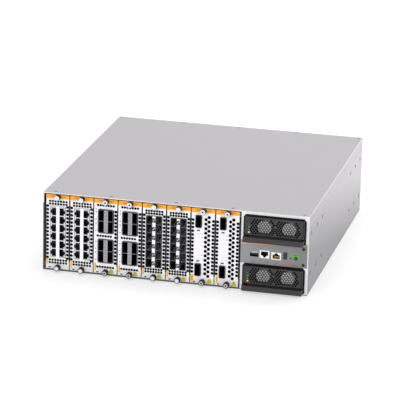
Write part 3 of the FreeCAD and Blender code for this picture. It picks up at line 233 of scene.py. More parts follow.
class Shade:
    """Builds one node material from Object coordinates in millimetres."""

    def __init__(self, name: str) -> None:
        """Make the material with its output and its Principled shader.

        Args:
            name: The material's name.
        """
        self.material = bpy.data.materials.new(name)
        self.material.use_nodes = True
        self.tree = self.material.node_tree
        self.tree.nodes.clear()
        self.output = self.tree.nodes.new("ShaderNodeOutputMaterial")
        self.surface = self.tree.nodes.new("ShaderNodeBsdfPrincipled")
        self.tree.links.new(self.surface.outputs[0], self.output.inputs["Surface"])
        self.place = self.add("ShaderNodeTexCoord", output="Object")
        axes = self.add("ShaderNodeSeparateXYZ", inputs={"Vector": self.place})
        parts = axes.socket.node.outputs
        self.x, self.y, self.z = (Signal(self.tree, parts[k]) * PER_METRE for k in range(3))

    def add(
        self,
        kind: str,
        settings: dict[str, object] | None = None,
        inputs: dict[str | int, object] | None = None,
        output: str | int = 0,
    ) -> Signal:
        """Add one node.

        Args:
            kind: The node's type.
            settings: The node's own settings, which are set first.
            inputs: Values or links by socket name or number.
            output: The socket that is returned.

        Returns:
            The chosen output.
        """
        node = self.tree.nodes.new(kind)
        for name, value in (settings or {}).items():
            setattr(node, name, value)
        for name, value in (inputs or {}).items():
            if isinstance(value, Signal):
                self.tree.links.new(value.socket, node.inputs[name])
            else:
                node.inputs[name].default_value = value
        return Signal(self.tree, node.outputs[output])

    def noise(self, size: float, detail: float = 2.0, stretch: Place = (1.0, 1.0, 1.0)) -> Signal:
        """Soft noise from 0 to 1.

        Args:
            size: Typical size of its spots, in millimetres.
            detail: How many finer layers it has.
            stretch: How much longer its spots are along each axis.

        Returns:
            The noise.
        """
        scale = tuple(1.0 / s for s in stretch)
        place = self.add("ShaderNodeMapping", inputs={"Vector": self.place, "Scale": scale})
        inputs = {"Vector": place, "Scale": PER_METRE / size, "Detail": detail}
        return self.add("ShaderNodeTexNoise", inputs=inputs)

    def mix(self, mask: Signal, low: "Signal | Colour", high: "Signal | Colour") -> Signal:
        """Colour that turns from one to another as a mask rises.

        Args:
            mask: The mask, from 0 to 1.
            low: Colour where the mask is 0.
            high: Colour where the mask is 1.

        Returns:
            The mixed colour.
        """
        inputs: dict[str | int, object] = {0: mask}
        for slot, value in ((6, low), (7, high)):
            inputs[slot] = value if isinstance(value, Signal) else (*value, 1.0)
        return self.add("ShaderNodeMix", {"data_type": "RGBA"}, inputs, 2)

    def patch(self, x0: float, x1: float, z0: float, z1: float) -> Signal:
        """Mask of an upright rectangle."""
        return self.x.between(x0, x1) * self.z.between(z0, z1)

    def disc(self, x: float, z: float, radius: float) -> Signal:
        """Mask of an upright disc."""
        return self.within(self.x - x, self.z - z, radius)

    def within(self, across: Signal, up: Signal, radius: float, soft: float = SOFT_EDGE) -> Signal:
        """Mask of the places nearer than a radius, from the two distances."""
        return 1.0 - (across * across + up * up).root().past(radius, soft)

    def set(self, **values: "Signal | float | Colour") -> None:
        """Set the shader's sockets.

        Args:
            values: A value or link for each socket, by its name with underscores between the words.
        """
        for name, value in values.items():
            socket = self.surface.inputs[name.replace("_", " ").title()]
            if isinstance(value, Signal):
                self.tree.links.new(value.socket, socket)
            elif isinstance(value, tuple):
                socket.default_value = (*value, 1.0)
            else:
                socket.default_value = value

    def bump(self, height: Signal, depth: float) -> None:
        """Raise the surface by a height signal.

        Args:
            height: The signal, from 0 to 1.
            depth: How far 1 stands above 0, in millimetres.
        """
        inputs = {"Height": height, "Distance": depth * MM, "Strength": 1.0}
        normal = self.add("ShaderNodeBump", inputs=inputs)
        self.tree.links.new(normal.socket, self.surface.inputs["Normal"])


# ---------------------------------------------------------------- finishes
@dataclass(frozen=True)
class PowderCoat:
    """Fine powder coat on the case's sheet metal, painted near black on the inside as painted shade.

    The outer box is the size of the closed case; the inner box holds what counts as the inside. The side
    walls are painted darker towards their lower front as painted shade.
    """

    name: str
    colour: Colour
    outer: tuple[Place, Place]
    inner_low: Place
    inner_high: Place
    front_painted_light: Colour
    folds: tuple[float, ...] = ()
    hole_groups: tuple[float, ...] = ()
    hole_pitch: float = 45.0
    hole_columns: int = 3
    hole_height: float = 32.75
    hole_spacing: float = 66.5
    hole_shadow: float = 3.5
    hole_shadow_tone: Colour = tone(12, 12, 13)
    side_shade: float = 0.5
    shade_height: float = 118.0
    shade_width: float = 96.0
    shade_rise: float = 0.215
    fold_width: float = 0.9
    glint: float = 0.5
    glint_reach: float = 130.0
    glint_fade: float = 200.0
    roughness: float = 0.48
    inner: Colour = tone(26, 25, 27)

    def sides(self, shade: Shade, colour: Signal, side: Signal) -> Signal:
        """Paint shade on the side walls towards their lower front, and a painted shadow round the bracket
        holes.

        Args:
            shade: The material being built.
            colour: The colour so far.
            side: Mask of the side walls.

        Returns:
            The colour with its darker sides.
        """
        front = self.outer[0][1]
        # Painted shade: the side walls darken towards their lower front.
        lit = (shade.z + (shade.y - front) * self.shade_rise).past(self.shade_height, self.shade_width)
        colour = shade.mix((1.0 - lit) * side * self.side_shade, colour, (0.0, 0.0, 0.0))
        # Painted shadow round each bracket hole.
        for first in self.hole_groups:
            along = shade.y.off_row(first, self.hole_pitch, self.hole_columns)
            rows = shade.z.off_row(self.hole_height, self.hole_spacing, 2)
            hole = shade.within(along, rows, self.hole_shadow, 0.5)
            colour = shade.mix(hole * side, colour, self.hole_shadow_tone)
        return colour

    def bends(self, shade: Shade, colour: Signal, side: Signal) -> Signal:
        """Paint highlights on the bends along the top and along the lower edges of the lips.

        Args:
            shade: The material being built.
            colour: The colour so far.
            side: Mask of the side walls.

        Returns:
            The colour with its lighter bends.
        """
        front, top = self.outer[0][1], self.outer[1][2]
        # Painted highlight along the top bend and along the front of the top.
        edge = side * shade.z.past(top - self.fold_width, 0.2)
        edge = edge.most(shade.z.past(top - 0.1, 0.05) * (1.0 - shade.y.past(front + 1.0, 0.2)))
        for fold in self.folds:
            low = 1.0 - shade.z.past(fold + self.fold_width, 0.2)
            ahead = 1.0 - shade.y.past(front + self.glint_reach, self.glint_fade)
            edge = edge.most(side * (low * ahead) * self.glint)
        return shade.mix(edge, colour, self.front_painted_light)

    def inside(self, shade: Shade) -> Signal:
        """Mask of what lies inside the case.

        Args:
            shade: The material being built.

        Returns:
            The mask.
        """
        mask = shade.x.between(self.inner_low[0], self.inner_high[0], 0.05)
        mask = mask * shade.y.between(self.inner_low[1], self.inner_high[1], 0.05)
        return mask * shade.z.between(self.inner_low[2], self.inner_high[2], 0.05)

    def material(self) -> bpy.types.Material:
        """Build the finish.

        Returns:
            The finish as a material.
        """
        shade = Shade(self.name)
        low, high = self.outer
        darker = tuple(c * 0.97 for c in self.colour)
        colour = shade.mix(shade.noise(60.0), darker, self.colour)
        side = shade.x.size().past(high[0] - 0.1, 0.05)
        colour = self.sides(shade, colour, side)
        # Painted light on the front faces: a highlight on the cover and frame, shade on the tray's lip.
        colour = shade.mix(1.0 - shade.y.past(low[1] + 0.1, 0.1), colour, self.front_painted_light)
        if self.folds:
            colour = self.bends(shade, colour, side)
        # Painted shade: the inside is painted near black.
        colour = shade.mix(self.inside(shade), colour, self.inner)
        shade.set(base_color=colour, roughness=shade.noise(7.0) * 0.08 + (self.roughness - 0.04))
        shade.bump(shade.noise(1.1, 1.0), 0.02)
        return shade.material


@dataclass(frozen=True)
class ModulePaint:
    """White faceplate paint with its printed fields of colour, for one module, and painted shade inside,
    round the vents, along the top edge and at the foot.
    """

    name: str
    low: Vector
    high: Vector
    kind: Kind
    label_box: tuple[float, float, float, float]
    white: Colour = tone(248, 246, 249)
    foot_shade: Colour = tone(222, 221, 224)
    orange: Colour = tone(252, 174, 44)
    print_orange: Colour = tone(158, 98, 26)
    label: Colour = tone(246, 188, 48)
    olive: Colour = tone(190, 178, 40)
    # Painted shade of the inside and of the flanks between the plates.
    inner: Colour = tone(16, 15, 17)
    flank_shade: Colour = tone(96, 94, 98)
    # Painted shadow round the vents and along the seams.
    rim: Colour = tone(30, 29, 32)
    rim_width: float = 0.5
    cell_middle: float = 20.18
    side_inset: float = 2.9
    side_pitch: float = 6.26
    side_radius: float = 1.95
    small_radius: float = 1.6
    large_radius: float = 2.3
    large_pitch: float = 7.63
    large_columns: tuple[tuple[float, int], ...] = ((4.6, 13), (9.7, 14))
    quad_pitch: float = 4.375
    quad_rows: tuple[tuple[float, int], ...] = ((53.05, 7), (-51.75, 7), (1.1, 6))
    label_core: tuple[float, float] = (0.9, 2.2)
    tag_half: float = 4.4
    tag_taper: float = 0.3
    tag_low: float = 4.8
    tag_high: float = 12.6
    dash_width: float = 1.6
    dash_half: float = 0.35
    band_bottom: float = 123.1
    band_rise: float = 0.9
    band_top_shade: float = 129.2
    band_line: float = 0.75

    @property
    def left(self) -> float:
        """Left edge of the module's cell."""
        return self.low.x - CELL_INSET

    def behind(self, shade: Shade, colour: Signal) -> Signal:
        """Paint shade on the hole walls and the inside, and on the outside of the side flanges.

        Args:
            shade: The material being built.
            colour: The colour so far.

        Returns:
            The colour with its hidden parts.
        """
        middle = (self.low + self.high) / 2
        half = (self.high - self.low) / 2
        across = (shade.x - middle.x).size()
        up = (shade.z - middle.z).size()
        inside = (1.0 - across.past(half.x - 0.7, 0.05)) * (1.0 - up.past(half.z - 0.7, 0.05))
        colour = shade.mix(shade.y.past(self.low.y + 0.15, 0.1) * inside, colour, self.inner)
        deep = shade.y.past(self.low.y + 0.62, 0.1)
        colour = shade.mix(deep * across.past(half.x - 0.9, 0.05), colour, self.flank_shade)
        within = across.between(half.x - 0.99, half.x - 0.7, 0.02)
        return shade.mix(deep * within, colour, self.inner)

    def side_vent_shadows(self, shade: Shade) -> Signal:
        """Mask of the painted shadow round the half-round vents along the plate's sides and along the seams.

        Args:
            shade: The material being built.

        Returns:
            The mask.
        """
        middle = (self.low + self.high) / 2
        up = shade.z - middle.z
        aside = shade.x - middle.x
        if self.kind is not Kind.QUAD:
            aside = aside.size()
        edge = (self.high.x - self.low.x) / 2 - self.side_inset
        rows = up.off_row(-7 * self.side_pitch, self.side_pitch, 15)
        mask = shade.within(aside - edge, rows, self.side_radius + self.rim_width)
        # Painted shade along the seams at the plate's sides.
        web = aside.past(edge + 1.7, 0.4) * up.between(-46.5, 46.5) * 0.8
        return mask.most(aside.past(edge + 2.4, 0.15) * up.between(-50.0, 56.0)).most(web)

    def vent_shadows(self, shade: Shade) -> Signal:
        """Mask of the painted shadow round the vents.

        Args:
            shade: The material being built.

        Returns:
            The mask.
        """
        cell_middle = self.left + self.cell_middle
        up = shade.z - (self.low.z + self.high.z) / 2
        mask = self.side_vent_shadows(shade)
        small = self.small_radius + self.rim_width
        if self.kind in (Kind.NETWORK, Kind.CAGE):
            pitch, first, shift = (4.6, 47.8, 0.9) if self.kind is Kind.NETWORK else (4.4, 47.2, 0.0)
            across = shade.x.off_row(cell_middle + shift - 3 * pitch, pitch, 7)
            mask = mask.most(shade.within(across, up.size().off_row(first, pitch, 2), small))
        elif self.kind is Kind.QUAD:
            for rise, count in self.quad_rows:
                across = shade.x.off_row(cell_middle - 3 * self.quad_pitch, self.quad_pitch, count)
                mask = mask.most(shade.within(across, up - rise, small))
        else:
            for shift, count in self.large_columns:
                rows = up.off_row(-self.large_pitch * (count - 1) / 2, self.large_pitch, count)
                across = shade.x - (cell_middle + shift)
                mask = mask.most(shade.within(across, rows, self.large_radius + self.rim_width))
        return mask

    def dash(self, shade: Shade, left: float, width: float, z: float) -> Signal:
        """Mask of one small printed bar, its left edge given from the cell's."""
        x = self.left + left
        return shade.patch(x, x + width, z - self.dash_half, z + self.dash_half)

    def marks(self, shade: Shade, colour: Signal) -> Signal:
        """Add the small printed marks.

        Args:
            shade: The material being built.
            colour: The colour so far.

        Returns:
            The colour with the marks.
        """
        x = self.left
        wide = self.kind is Kind.PAIR
        left, right, low, high = self.label_box
        colour = shade.mix(shade.patch(x + left, x + right, low, high), colour, self.label)
        if self.kind is not Kind.NETWORK:
            inset, drop = self.label_core
            core = shade.patch(x + left + inset, x + right - inset, low + drop, high - drop)
            colour = shade.mix(core * 0.35, colour, self.print_orange)
            middle = x + (32.5 if wide else 30.4)
            half = self.tag_half - (shade.z - self.tag_low) * self.tag_taper
            tag = half.past((shade.x - middle).size()) * shade.z.between(self.tag_low, self.tag_high)
            colour = shade.mix(tag, colour, self.olive)
        for u, z, tint in ((9.1, 6.6, tone(120, 190, 140)), (12.2, 6.0, tone(232, 150, 150))):
            colour = shade.mix(self.dash(shade, u, self.dash_width, z), colour, tint)
        if wide:
            for z in (88.3, 82.0, 51.9, 47.0):
                colour = shade.mix(self.dash(shade, 17.0, 3.2, z), colour, tone(112, 112, 118))
            colour = shade.mix(shade.patch(x + 7.6, x + 15.4, 121.6, 122.2), colour, tone(232, 160, 140))
        return colour

    def band(self, shade: Shade, colour: Signal) -> Signal:
        """Add the sloping orange band at the top with its two pairs of lines, and painted shade along the top
        edge.

        Args:
            shade: The material being built.
            colour: The colour so far.

        Returns:
            The colour with the band.
        """
        slope = self.band_rise / (self.high.x - self.low.x)
        band = (shade.z - (shade.x - self.low.x) * slope).past(self.band_bottom)
        colour = shade.mix(band, colour, self.orange)
        for u0, u1 in ((7.6, 13.8), (27.4, 33.4)):
            for line in (126.3, 127.6):
                mark = shade.patch(self.left + u0, self.left + u1, line, line + self.band_line)
                colour = shade.mix(mark * 0.8, colour, self.print_orange)
        # Painted shade along the plate's top edge.
        return shade.mix(shade.z.past(self.band_top_shade, 0.2) * 0.3, colour, self.print_orange)

    def material(self) -> bpy.types.Material:
        """Build the finish.

        Returns:
            The finish as a material.
        """
        shade = Shade(self.name)
        # Painted shade: the plate turns greyer towards its foot.
        low = 1.0 - shade.z.past(13.0, 6.0)
        colour = shade.mix(low * 0.85, self.white, self.foot_shade)
        colour = self.marks(shade, colour)
        colour = self.band(shade, colour)
        # Painted shadow round the vents.
        colour = shade.mix(self.vent_shadows(shade), colour, self.rim)
        colour = self.behind(shade, colour)
        shade.set(base_color=colour, roughness=shade.noise(9.0) * 0.08 + 0.4)
        shade.bump(shade.noise(1.3, 1.0), 0.012)
        return shade.material


@dataclass(frozen=True)
class Moulded:
    """Moulded plastic with a fine sparked texture."""

    name: str
    colour: Colour
    roughness: float = 0.5
    grain: float = 0.6
    relief: float = 0.03

    def material(self) -> bpy.types.Material:
        """Build the finish.

        Returns:
            The finish as a material.
        """
        shade = Shade(self.name)
        fine = shade.noise(self.grain, 2.0)
        lighter = tuple(c * 1.12 for c in self.colour)
        shade.set(
            base_color=shade.mix(shade.noise(14.0), self.colour, lighter),
            roughness=fine * 0.14 + (self.roughness - 0.07),
        )
        shade.bump(fine, self.relief)
        return shade.material


@dataclass(frozen=True)
class ButtonPlastic:
    """Round push button: a dark ring round a grey middle."""

    name: str
    x: float
    z: float
    radius: float

    def material(self) -> bpy.types.Material:
        """Build the finish.

        Returns:
            The finish as a material.
        """
        shade = Shade(self.name)
        fine = shade.noise(0.7, 2.0)
        middle = shade.mix(fine, tone(72, 76, 74), tone(92, 96, 94))
        colour = shade.mix(shade.disc(self.x, self.z, self.radius * 0.66), tone(16, 17, 16), middle)
        shade.set(
            base_color=shade.mix(shade.disc(self.x, self.z, self.radius * 0.3), colour, tone(16, 17, 16)),
            roughness=fine * 0.1 + 0.34,
        )
        shade.bump(fine, 0.02)
        return shade.material


@dataclass(frozen=True)
class BezelPlastic:
    """Dark moulded front of a power unit, with painted shadow behind its face and along its right end, and
    darker in front of the fan hubs.
    """

    name: str
    low: Vector
    high: Vector
    hubs: tuple[tuple[float, float], ...]
    face_depth: float = 6.0
    field: float = 21.0
    hub: float = 11.0
    colour: Colour = tone(45, 42, 46)
    web: Colour = tone(60, 57, 61)
    hub_web: Colour = tone(22, 21, 23)
    shadow: Colour = tone(6, 6, 7)

    def material(self) -> bpy.types.Material:
        """Build the finish.

        Returns:
            The finish as a material.
        """
        shade = Shade(self.name)
        fine = shade.noise(0.7, 2.0)
        lighter = tuple(c * 1.12 for c in self.colour)
        behind = shade.y.past(self.low.y + self.face_depth + 0.8, 0.3)
        colour = shade.mix(shade.noise(14.0), self.colour, lighter)
        upper = shade.z.past(self.low.z + 13.5, 0.3)
        for radius, finish in ((self.field, self.web), (self.hub, self.hub_web)):
            for x, z in self.hubs:
                colour = shade.mix(shade.disc(x, z, radius) * upper, colour, finish)
        # Painted shadow along the right end, with a lighter ridge in it as painted light of the lit side.
        slot = shade.x.between(self.high.x - 4.2, self.high.x - 0.5, 0.3)
        slot = slot * (1.0 - shade.z.past(self.high.z - 4.5, 0.3))
        ridge = shade.x.between(self.high.x - 2.6, self.high.x - 1.8, 0.3)
        colour = shade.mix(slot * upper * (1.0 - ridge * 0.5), colour, self.shadow)
        # Painted shadow behind the face.
        colour = shade.mix(behind, colour, self.shadow)
        shade.set(base_color=colour, roughness=fine * 0.14 + 0.43)
        shade.bump(fine, 0.04)
        return shade.material


@dataclass(frozen=True)
class HousingPlate:
    """Plated sheet of a power unit, painted near black round its fans as painted shade."""

    name: str
    baffle: float

    def material(self) -> bpy.types.Material:
        """Build the finish.

        Returns:
            The finish as a material.
        """
        shade = Shade(self.name)
        streak = shade.noise(0.8, 3.0, (1.0, 60.0, 1.0))
        plain = shade.y.past(self.baffle, 0.3)
        metal = shade.mix(streak, (0.48, 0.48, 0.5), (0.56, 0.56, 0.58))
        shade.set(
            # Painted shade: near black ahead of the baffle.
            base_color=shade.mix(plain, tone(10, 10, 11), metal),
            metallic=plain * 0.95,
            roughness=streak * 0.16 + 0.26,
        )
        shade.bump(streak, 0.01)
        return shade.material


@dataclass(frozen=True)
class FanPlastic:
    """Dark fan blades round a pale hub that glows faintly as painted light."""

    name: str
    x: float
    z: float
    hub: float = 11.05

    def material(self) -> bpy.types.Material:
        """Build the finish.

        Returns:
            The finish as a material.
        """
        shade = Shade(self.name)
        fine = shade.noise(0.8, 2.0)
        pale = shade.mix(fine, tone(232, 232, 236), tone(250, 250, 252))
        shade.set(
            base_color=shade.mix(shade.disc(self.x, self.z, self.hub), tone(12, 12, 13), pale),
            roughness=fine * 0.1 + 0.34,
            # Painted light: the hub glows faintly.
            emission_color=shade.mix(shade.disc(self.x, self.z, self.hub), (0.0, 0.0, 0.0), (1.0, 1.0, 1.0)),
            emission_strength=0.14,
        )
        shade.bump(fine, 0.01)
        return shade.material


@dataclass(frozen=True)
class Plated:
    """Plated or turned metal with fine lines along one axis."""

    name: str
    colour: Colour
    roughness: float = 0.32
    lines: Place = (1.0, 60.0, 1.0)
    relief: float = 0.01

    def material(self) -> bpy.types.Material:
        """Build the finish.

        Returns:
            The finish as a material.
        """
        shade = Shade(self.name)
        streak = shade.noise(0.8, 3.0, self.lines)
        darker = tuple(c * 0.86 for c in self.colour)
        shade.set(
            base_color=shade.mix(streak, darker, self.colour),
            metallic=0.95,
            roughness=streak * 0.16 + (self.roughness - 0.08),
        )
        shade.bump(streak, self.relief)
        return shade.material


@dataclass(frozen=True)
class Laminate:
    """Circuit board under solder mask, with its copper tracks showing through."""

    name: str
    along: Axis = Axis.Y
    mask: Colour = (0.012, 0.095, 0.035)
    track: Colour = (0.03, 0.17, 0.06)

    def material(self) -> bpy.types.Material:
        """Build the finish.

        Returns:
            The finish as a material.
        """
        shade = Shade(self.name)
        along = shade.x if self.along is Axis.X else shade.y
        wander = shade.noise(26.0, 0.0)
        runs = (shade.z + wander * 6.0).wrapped(1.7).between(0.45, 0.95, 0.12)
        groups = shade.noise(19.0, 1.0, (1.0, 2.5, 1.0)).past(0.52, 0.04)
        via = (along.wrapped(4.0) - 2.0).size().most((shade.z.wrapped(4.6) - 2.3).size())
        dots = (1.0 - via.past(0.42, 0.1)) * (1.0 - groups)
        copper = (runs * groups).most(dots)
        shade.set(base_color=shade.mix(copper, self.mask, self.track), roughness=0.3, coat_weight=0.3)
        shade.bump(copper, 0.03)
        return shade.material


@dataclass(frozen=True)
class Lens:
    """Small lamp lens, lit or dark."""

    name: str
    colour: Colour
    glow: float = 0.0

    def material(self) -> bpy.types.Material:
        """Build the finish.

        Returns:
            The finish as a material.
        """
        shade = Shade(self.name)
        cloud = shade.noise(1.5)
        shade.set(
            base_color=shade.mix(cloud, self.colour, tuple(min(1.0, c * 1.15) for c in self.colour)),
            roughness=0.18,
            emission_color=self.colour,
            emission_strength=self.glow,
        )
        return shade.material


@dataclass(frozen=True)
class JackFront:
    """Ganged network socket block: pale face with a grey outline, dark inside its mouths."""

    name: str
    middle: float
    front: float
    centre: float
    half_width: float
    half_height: float

    def material(self) -> bpy.types.Material:
        """Build the finish.

        Returns:
            The finish as a material.
        """
        shade = Shade(self.name)
        across = (shade.x - self.middle).size()
        up = (shade.z - self.centre).size()
        rim = (across - (self.half_width - 0.75)).most(up - (self.half_height - 1.9))
        outline = rim.between(-0.35, 0.35, 0.15) * (1.0 - across.between(-1.0, 3.4))
        face = shade.mix(outline, tone(222, 221, 225), tone(104, 102, 108))
        strip = 1.0 - across.past(2.65)
        face = shade.mix(strip, face, tone(255, 255, 255))
        notch = across.past(10.0, 0.2)
        pit = shade.mix(notch, tone(62, 58, 64), tone(112, 108, 114))
        inside = shade.y.past(self.front + 0.3, 0.2)
        colour = shade.mix(inside, face, pit)
        shade.set(base_color=colour, roughness=shade.noise(3.0) * 0.1 + 0.38)
        shade.bump(shade.noise(0.7), 0.012)
        return shade.material


@dataclass(frozen=True)
class CageFront:
    """Socket cages: a dark frame with a lighter inner edge as a painted highlight, divider edges, and dark
    further in.
    """

    name: str
    middle: float
    front: float
    half_width: float
    blocks: tuple[tuple[float, float], ...]
    strip_half: float
    strip: Colour
    rim: Colour = tone(34, 33, 36)
    rim_width: float = 1.3
    line: Colour = tone(104, 102, 106)
    divider: Colour = tone(96, 94, 98)
    setback: float = 1.0
    pocket: Colour = tone(14, 13, 15)
    deep: Colour = tone(14, 13, 15)

    def material(self) -> bpy.types.Material:
        """Build the finish.

        Returns:
            The finish as a material.
        """
        shade = Shade(self.name)
        across = (shade.x - self.middle).size()
        rim = None
        for centre, half in self.blocks:
            reach = (across - self.half_width).most((shade.z - centre).size() - half)
            rim = reach if rim is None else rim.least(reach)
        front = 1.0 - shade.y.past(self.front + self.setback + 0.5, 0.2)
        pocket = shade.mix(shade.y.past(self.front + 14.0, 24.0), self.pocket, self.deep)
        colour = shade.mix(front, pocket, self.divider)
        strip = 1.0 - across.past(self.strip_half + 0.05)
        strip = strip * (1.0 - shade.y.past(self.front + self.setback + 1.0, 0.2))
        colour = shade.mix(strip, colour, self.strip)
        outer = rim.past(-self.rim_width - 0.02, 0.05)
        colour = shade.mix(outer, colour, self.rim)
        # Painted highlight along the frame's inner edge.
        edge = rim.between(-self.rim_width - 0.1, -self.rim_width + 0.35, 0.1)
        edge = edge * (1.0 - shade.y.past(self.front + 0.1))
        colour = shade.mix(edge, colour, self.line)
        shade.set(base_color=colour, roughness=shade.noise(2.0) * 0.12 + 0.36)
        shade.bump(shade.noise(0.8), 0.015)
        return shade.material


@dataclass(frozen=True)
class PanelPaint:
    """Grey management panel paint with its orange line and a green field round the button."""

    name: str
    left: float
    right: float
    line_left: float
    line_right: float
    grey: Colour = tone(148, 150, 152)
    far_grey: Colour = tone(126, 126, 129)
    orange: Colour = tone(240, 160, 40)
    green: Colour = tone(100, 170, 72)
    shadow_share: float = 0.4
    dim: Colour = tone(92, 92, 96)

    def prints(self) -> list[tuple[float, float, float, float, Colour]]:
        """List the printed fields in the order in which they are laid on.

        Returns:
            Left, right, bottom, top and colour of each.
        """
        shadow = tuple(c * self.shadow_share for c in self.green)
        return [
            (157.0, 173.0, 77.2, 78.2, tone(150, 138, 60)),
            (128.5, 136.5, 64.3, 66.6, tone(186, 187, 190)),
            (193.8, 206.0, 60.1, 68.8, self.green),
            (195.2, 198.0, 66.2, 67.7, shadow),
            (198.8, 201.4, 66.2, 67.7, shadow),
            (127.0, 134.5, 49.5, 50.3, self.dim),
            (151.0, 156.0, 50.0, 50.8, self.dim),
            (162.0, 171.0, 50.0, 50.8, self.dim),
            (141.0, 145.0, 52.2, 53.0, self.dim),
            (194.5, 201.5, 49.2, 50.0, self.dim),
            (178.0, 193.5, 49.4, 50.7, tone(214, 84, 74)),
            (162.8, 165.6, 49.8, 50.8, tone(226, 140, 70)),
        ]

    def material(self) -> bpy.types.Material:
        """Build the finish.

        Returns:
            The finish as a material.
        """
        shade = Shade(self.name)
        width = self.right - self.left
        across = shade.x.past((self.left + self.right) / 2, width)
        colour = shade.mix(across, self.grey, self.far_grey)
        slope = (self.line_right - self.line_left) / width
        line = shade.z - ((shade.x - self.left) * slope + self.line_left)
        colour = shade.mix(line.between(-0.7, 0.7), colour, self.orange)
        for x0, x1, z0, z1, tint in self.prints():
            colour = shade.mix(shade.patch(x0, x1, z0, z1), colour, tint)
        shadow = tuple(c * self.shadow_share for c in self.green)
        colour = shade.mix(shade.disc(204.0, 66.8, 1.0), colour, shadow)
        shade.set(base_color=colour, roughness=shade.noise(6.0) * 0.08 + 0.42)
        shade.bump(shade.noise(1.2, 1.0), 0.015)
        return shade.material


@dataclass(frozen=True)
class ControlBoard:
    """Control board with pale socket surrounds, a dark display and sheet metal serial-bus socket."""

    name: str
    front: float
    sockets: tuple[tuple[float, float], ...]
    display: tuple[float, float]
    bus: tuple[float, float]
    top: float = 55.8
    bus_middle: float = 64.1
    mask: Colour = (0.012, 0.095, 0.035)
    track: Colour = (0.03, 0.17, 0.06)

    def material(self) -> bpy.types.Material:
        """Build the finish.

        Returns:
            The finish as a material.
        """
        shade = Shade(self.name)
        runs = (shade.y + shade.noise(20.0, 0.0) * 5.0).wrapped(1.9).between(0.5, 1.0, 0.12)
        colour = shade.mix(runs * shade.noise(16.0).past(0.5, 0.05), self.mask, self.track)
        raised = shade.z.past(self.top, 0.1)
        inside = shade.y.past(self.front + 0.5, 0.3)
        body = shade.mix(inside, tone(252, 252, 254), tone(20, 19, 22))
        upper = shade.z.past(self.bus_middle, 0.2) * (1.0 - inside)
        slot = shade.mix(upper, tone(12, 12, 13), tone(236, 236, 240))
        parts = [(pair, body) for pair in self.sockets]
        parts += [(self.display, tone(62, 68, 70)), (self.bus, slot)]
        for (x0, x1), shown in parts:
            colour = shade.mix(shade.x.between(x0 - 0.3, x1 + 0.3) * raised, colour, shown)
        shade.set(base_color=colour, roughness=0.34)
        shade.bump(shade.noise(1.0), 0.01)
        return shade.material


# ---------------------------------------------------------------- pieces
@dataclass
class Piece:
    """One new piece: a mesh under construction that rides on a body of the part."""

    name: str
    body: str
    slot: str
    finishes: list[bpy.types.Material]
    mesh: bmesh.types.BMesh = field(default_factory=bmesh.new)

    def _paint(self, faces: list[bmesh.types.BMFace], finish: int) -> None:
        """Give new faces one of the piece's finishes."""
        for face in faces:
            face.material_index = finish

    def block(self, low: Place, high: Place, round_by: float = 0.0, finish: int = 0) -> None:
        """Add a block with rounded edges.

        Args:
            low: Lowest corner, in millimetres.
            high: Highest corner, in millimetres.
            round_by: Bevel width, in millimetres.
            finish: Which of the piece's finishes it takes.
        """
        verts = bmesh.ops.create_cube(self.mesh, size=1.0)["verts"]
        size = [(b - a) * MM for a, b in zip(low, high)]
        middle = Vector([(a + b) / 2 * MM for a, b in zip(low, high)])
        bmesh.ops.scale(self.mesh, vec=size, verts=verts)
        bmesh.ops.translate(self.mesh, vec=middle, verts=verts)
        faces = list({face for vert in verts for face in vert.link_faces})
        self._paint(faces, finish)
        if round_by:
            edges = list({edge for vert in verts for edge in vert.link_edges})
            bmesh.ops.bevel(
                self.mesh, geom=edges, offset=round_by * MM, offset_type="OFFSET", segments=2, profile=0.5,
                affect="EDGES", material=-1, clamp_overlap=True,
            )

    def turned(
        self, profile: list[tuple[float, float]], at: Place, steps: int = 32, finish: int = 0
    ) -> list[bmesh.types.BMVert]:
        """Add a shape turned about an axis along Y.

        Args:
            profile: Radius and depth of each point, from the front, in millimetres.
            at: Place of the axis where depth is 0, in millimetres.
            steps: Number of sides.
            finish: Which of the piece's finishes it takes.

        Returns:
            The new vertices.
        """
        before = set(self.mesh.verts)
        origin = Vector(at) * MM
        verts = [self.mesh.verts.new(origin + Vector((r * MM, d * MM, 0.0))) for r, d in profile]
        edges = [self.mesh.edges.new(pair) for pair in zip(verts, verts[1:])]
        bmesh.ops.spin(
            self.mesh, geom=verts + edges, cent=origin, axis=(0.0, 1.0, 0.0), angle=math.tau, steps=steps,
            use_merge=True, use_duplicate=False,
        )
        new = [v for v in self.mesh.verts if v not in before]
        bmesh.ops.remove_doubles(self.mesh, verts=new, dist=1e-7)
        new = [v for v in self.mesh.verts if v not in before]
        self._paint(list({face for vert in new for face in vert.link_faces}), finish)
        return new

    def finish(self, smooth: float = 35.0) -> bpy.types.Object:
        """Close the mesh, make the object and hang it on its body.

        Args:
            smooth: Edges flatter than this many degrees are shaded smooth.

        Returns:
            The new object.
        """
        bmesh.ops.recalc_face_normals(self.mesh, faces=self.mesh.faces)
        for face in self.mesh.faces:
            face.smooth = True
        for edge in self.mesh.edges:
            if len(edge.link_faces) == 2 and edge.calc_face_angle(0.0) > math.radians(smooth):
                edge.smooth = False
        data = bpy.data.meshes.new(self.name)
        self.mesh.to_mesh(data)
        self.mesh.free()
        for material in self.finishes:
            data.materials.append(material)
        made = bpy.data.objects.new(self.name, data)
        bpy.context.scene.collection.objects.link(made)
        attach(made, self.body)
        return made


def dress(node: str, material: bpy.types.Material) -> None:
    """Give a node of the part one finish all over."""
    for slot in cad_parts[node].material_slots:
        slot.material = material


def span(node: str) -> tuple[Vector, Vector]:
    """Lowest and highest corners of a node, in millimetres."""
    low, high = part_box(node)
    return Vector(low) / MM, Vector(high) / MM


def front_middle(node: str) -> tuple[float, float]:
    """Find the middle of a node's foremost face.

    Args:
        node: The node's name.

    Returns:
        Its x and z, in millimetres.
    """
    corners = [vert.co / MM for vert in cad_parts[node].data.vertices]
    front = min(corner.y for corner in corners)
    face = [corner for corner in corners if corner.y < front + 0.2]
    across, up = [corner.x for corner in face], [corner.z for corner in face]
    return (min(across) + max(across)) / 2, (min(up) + max(up)) / 2


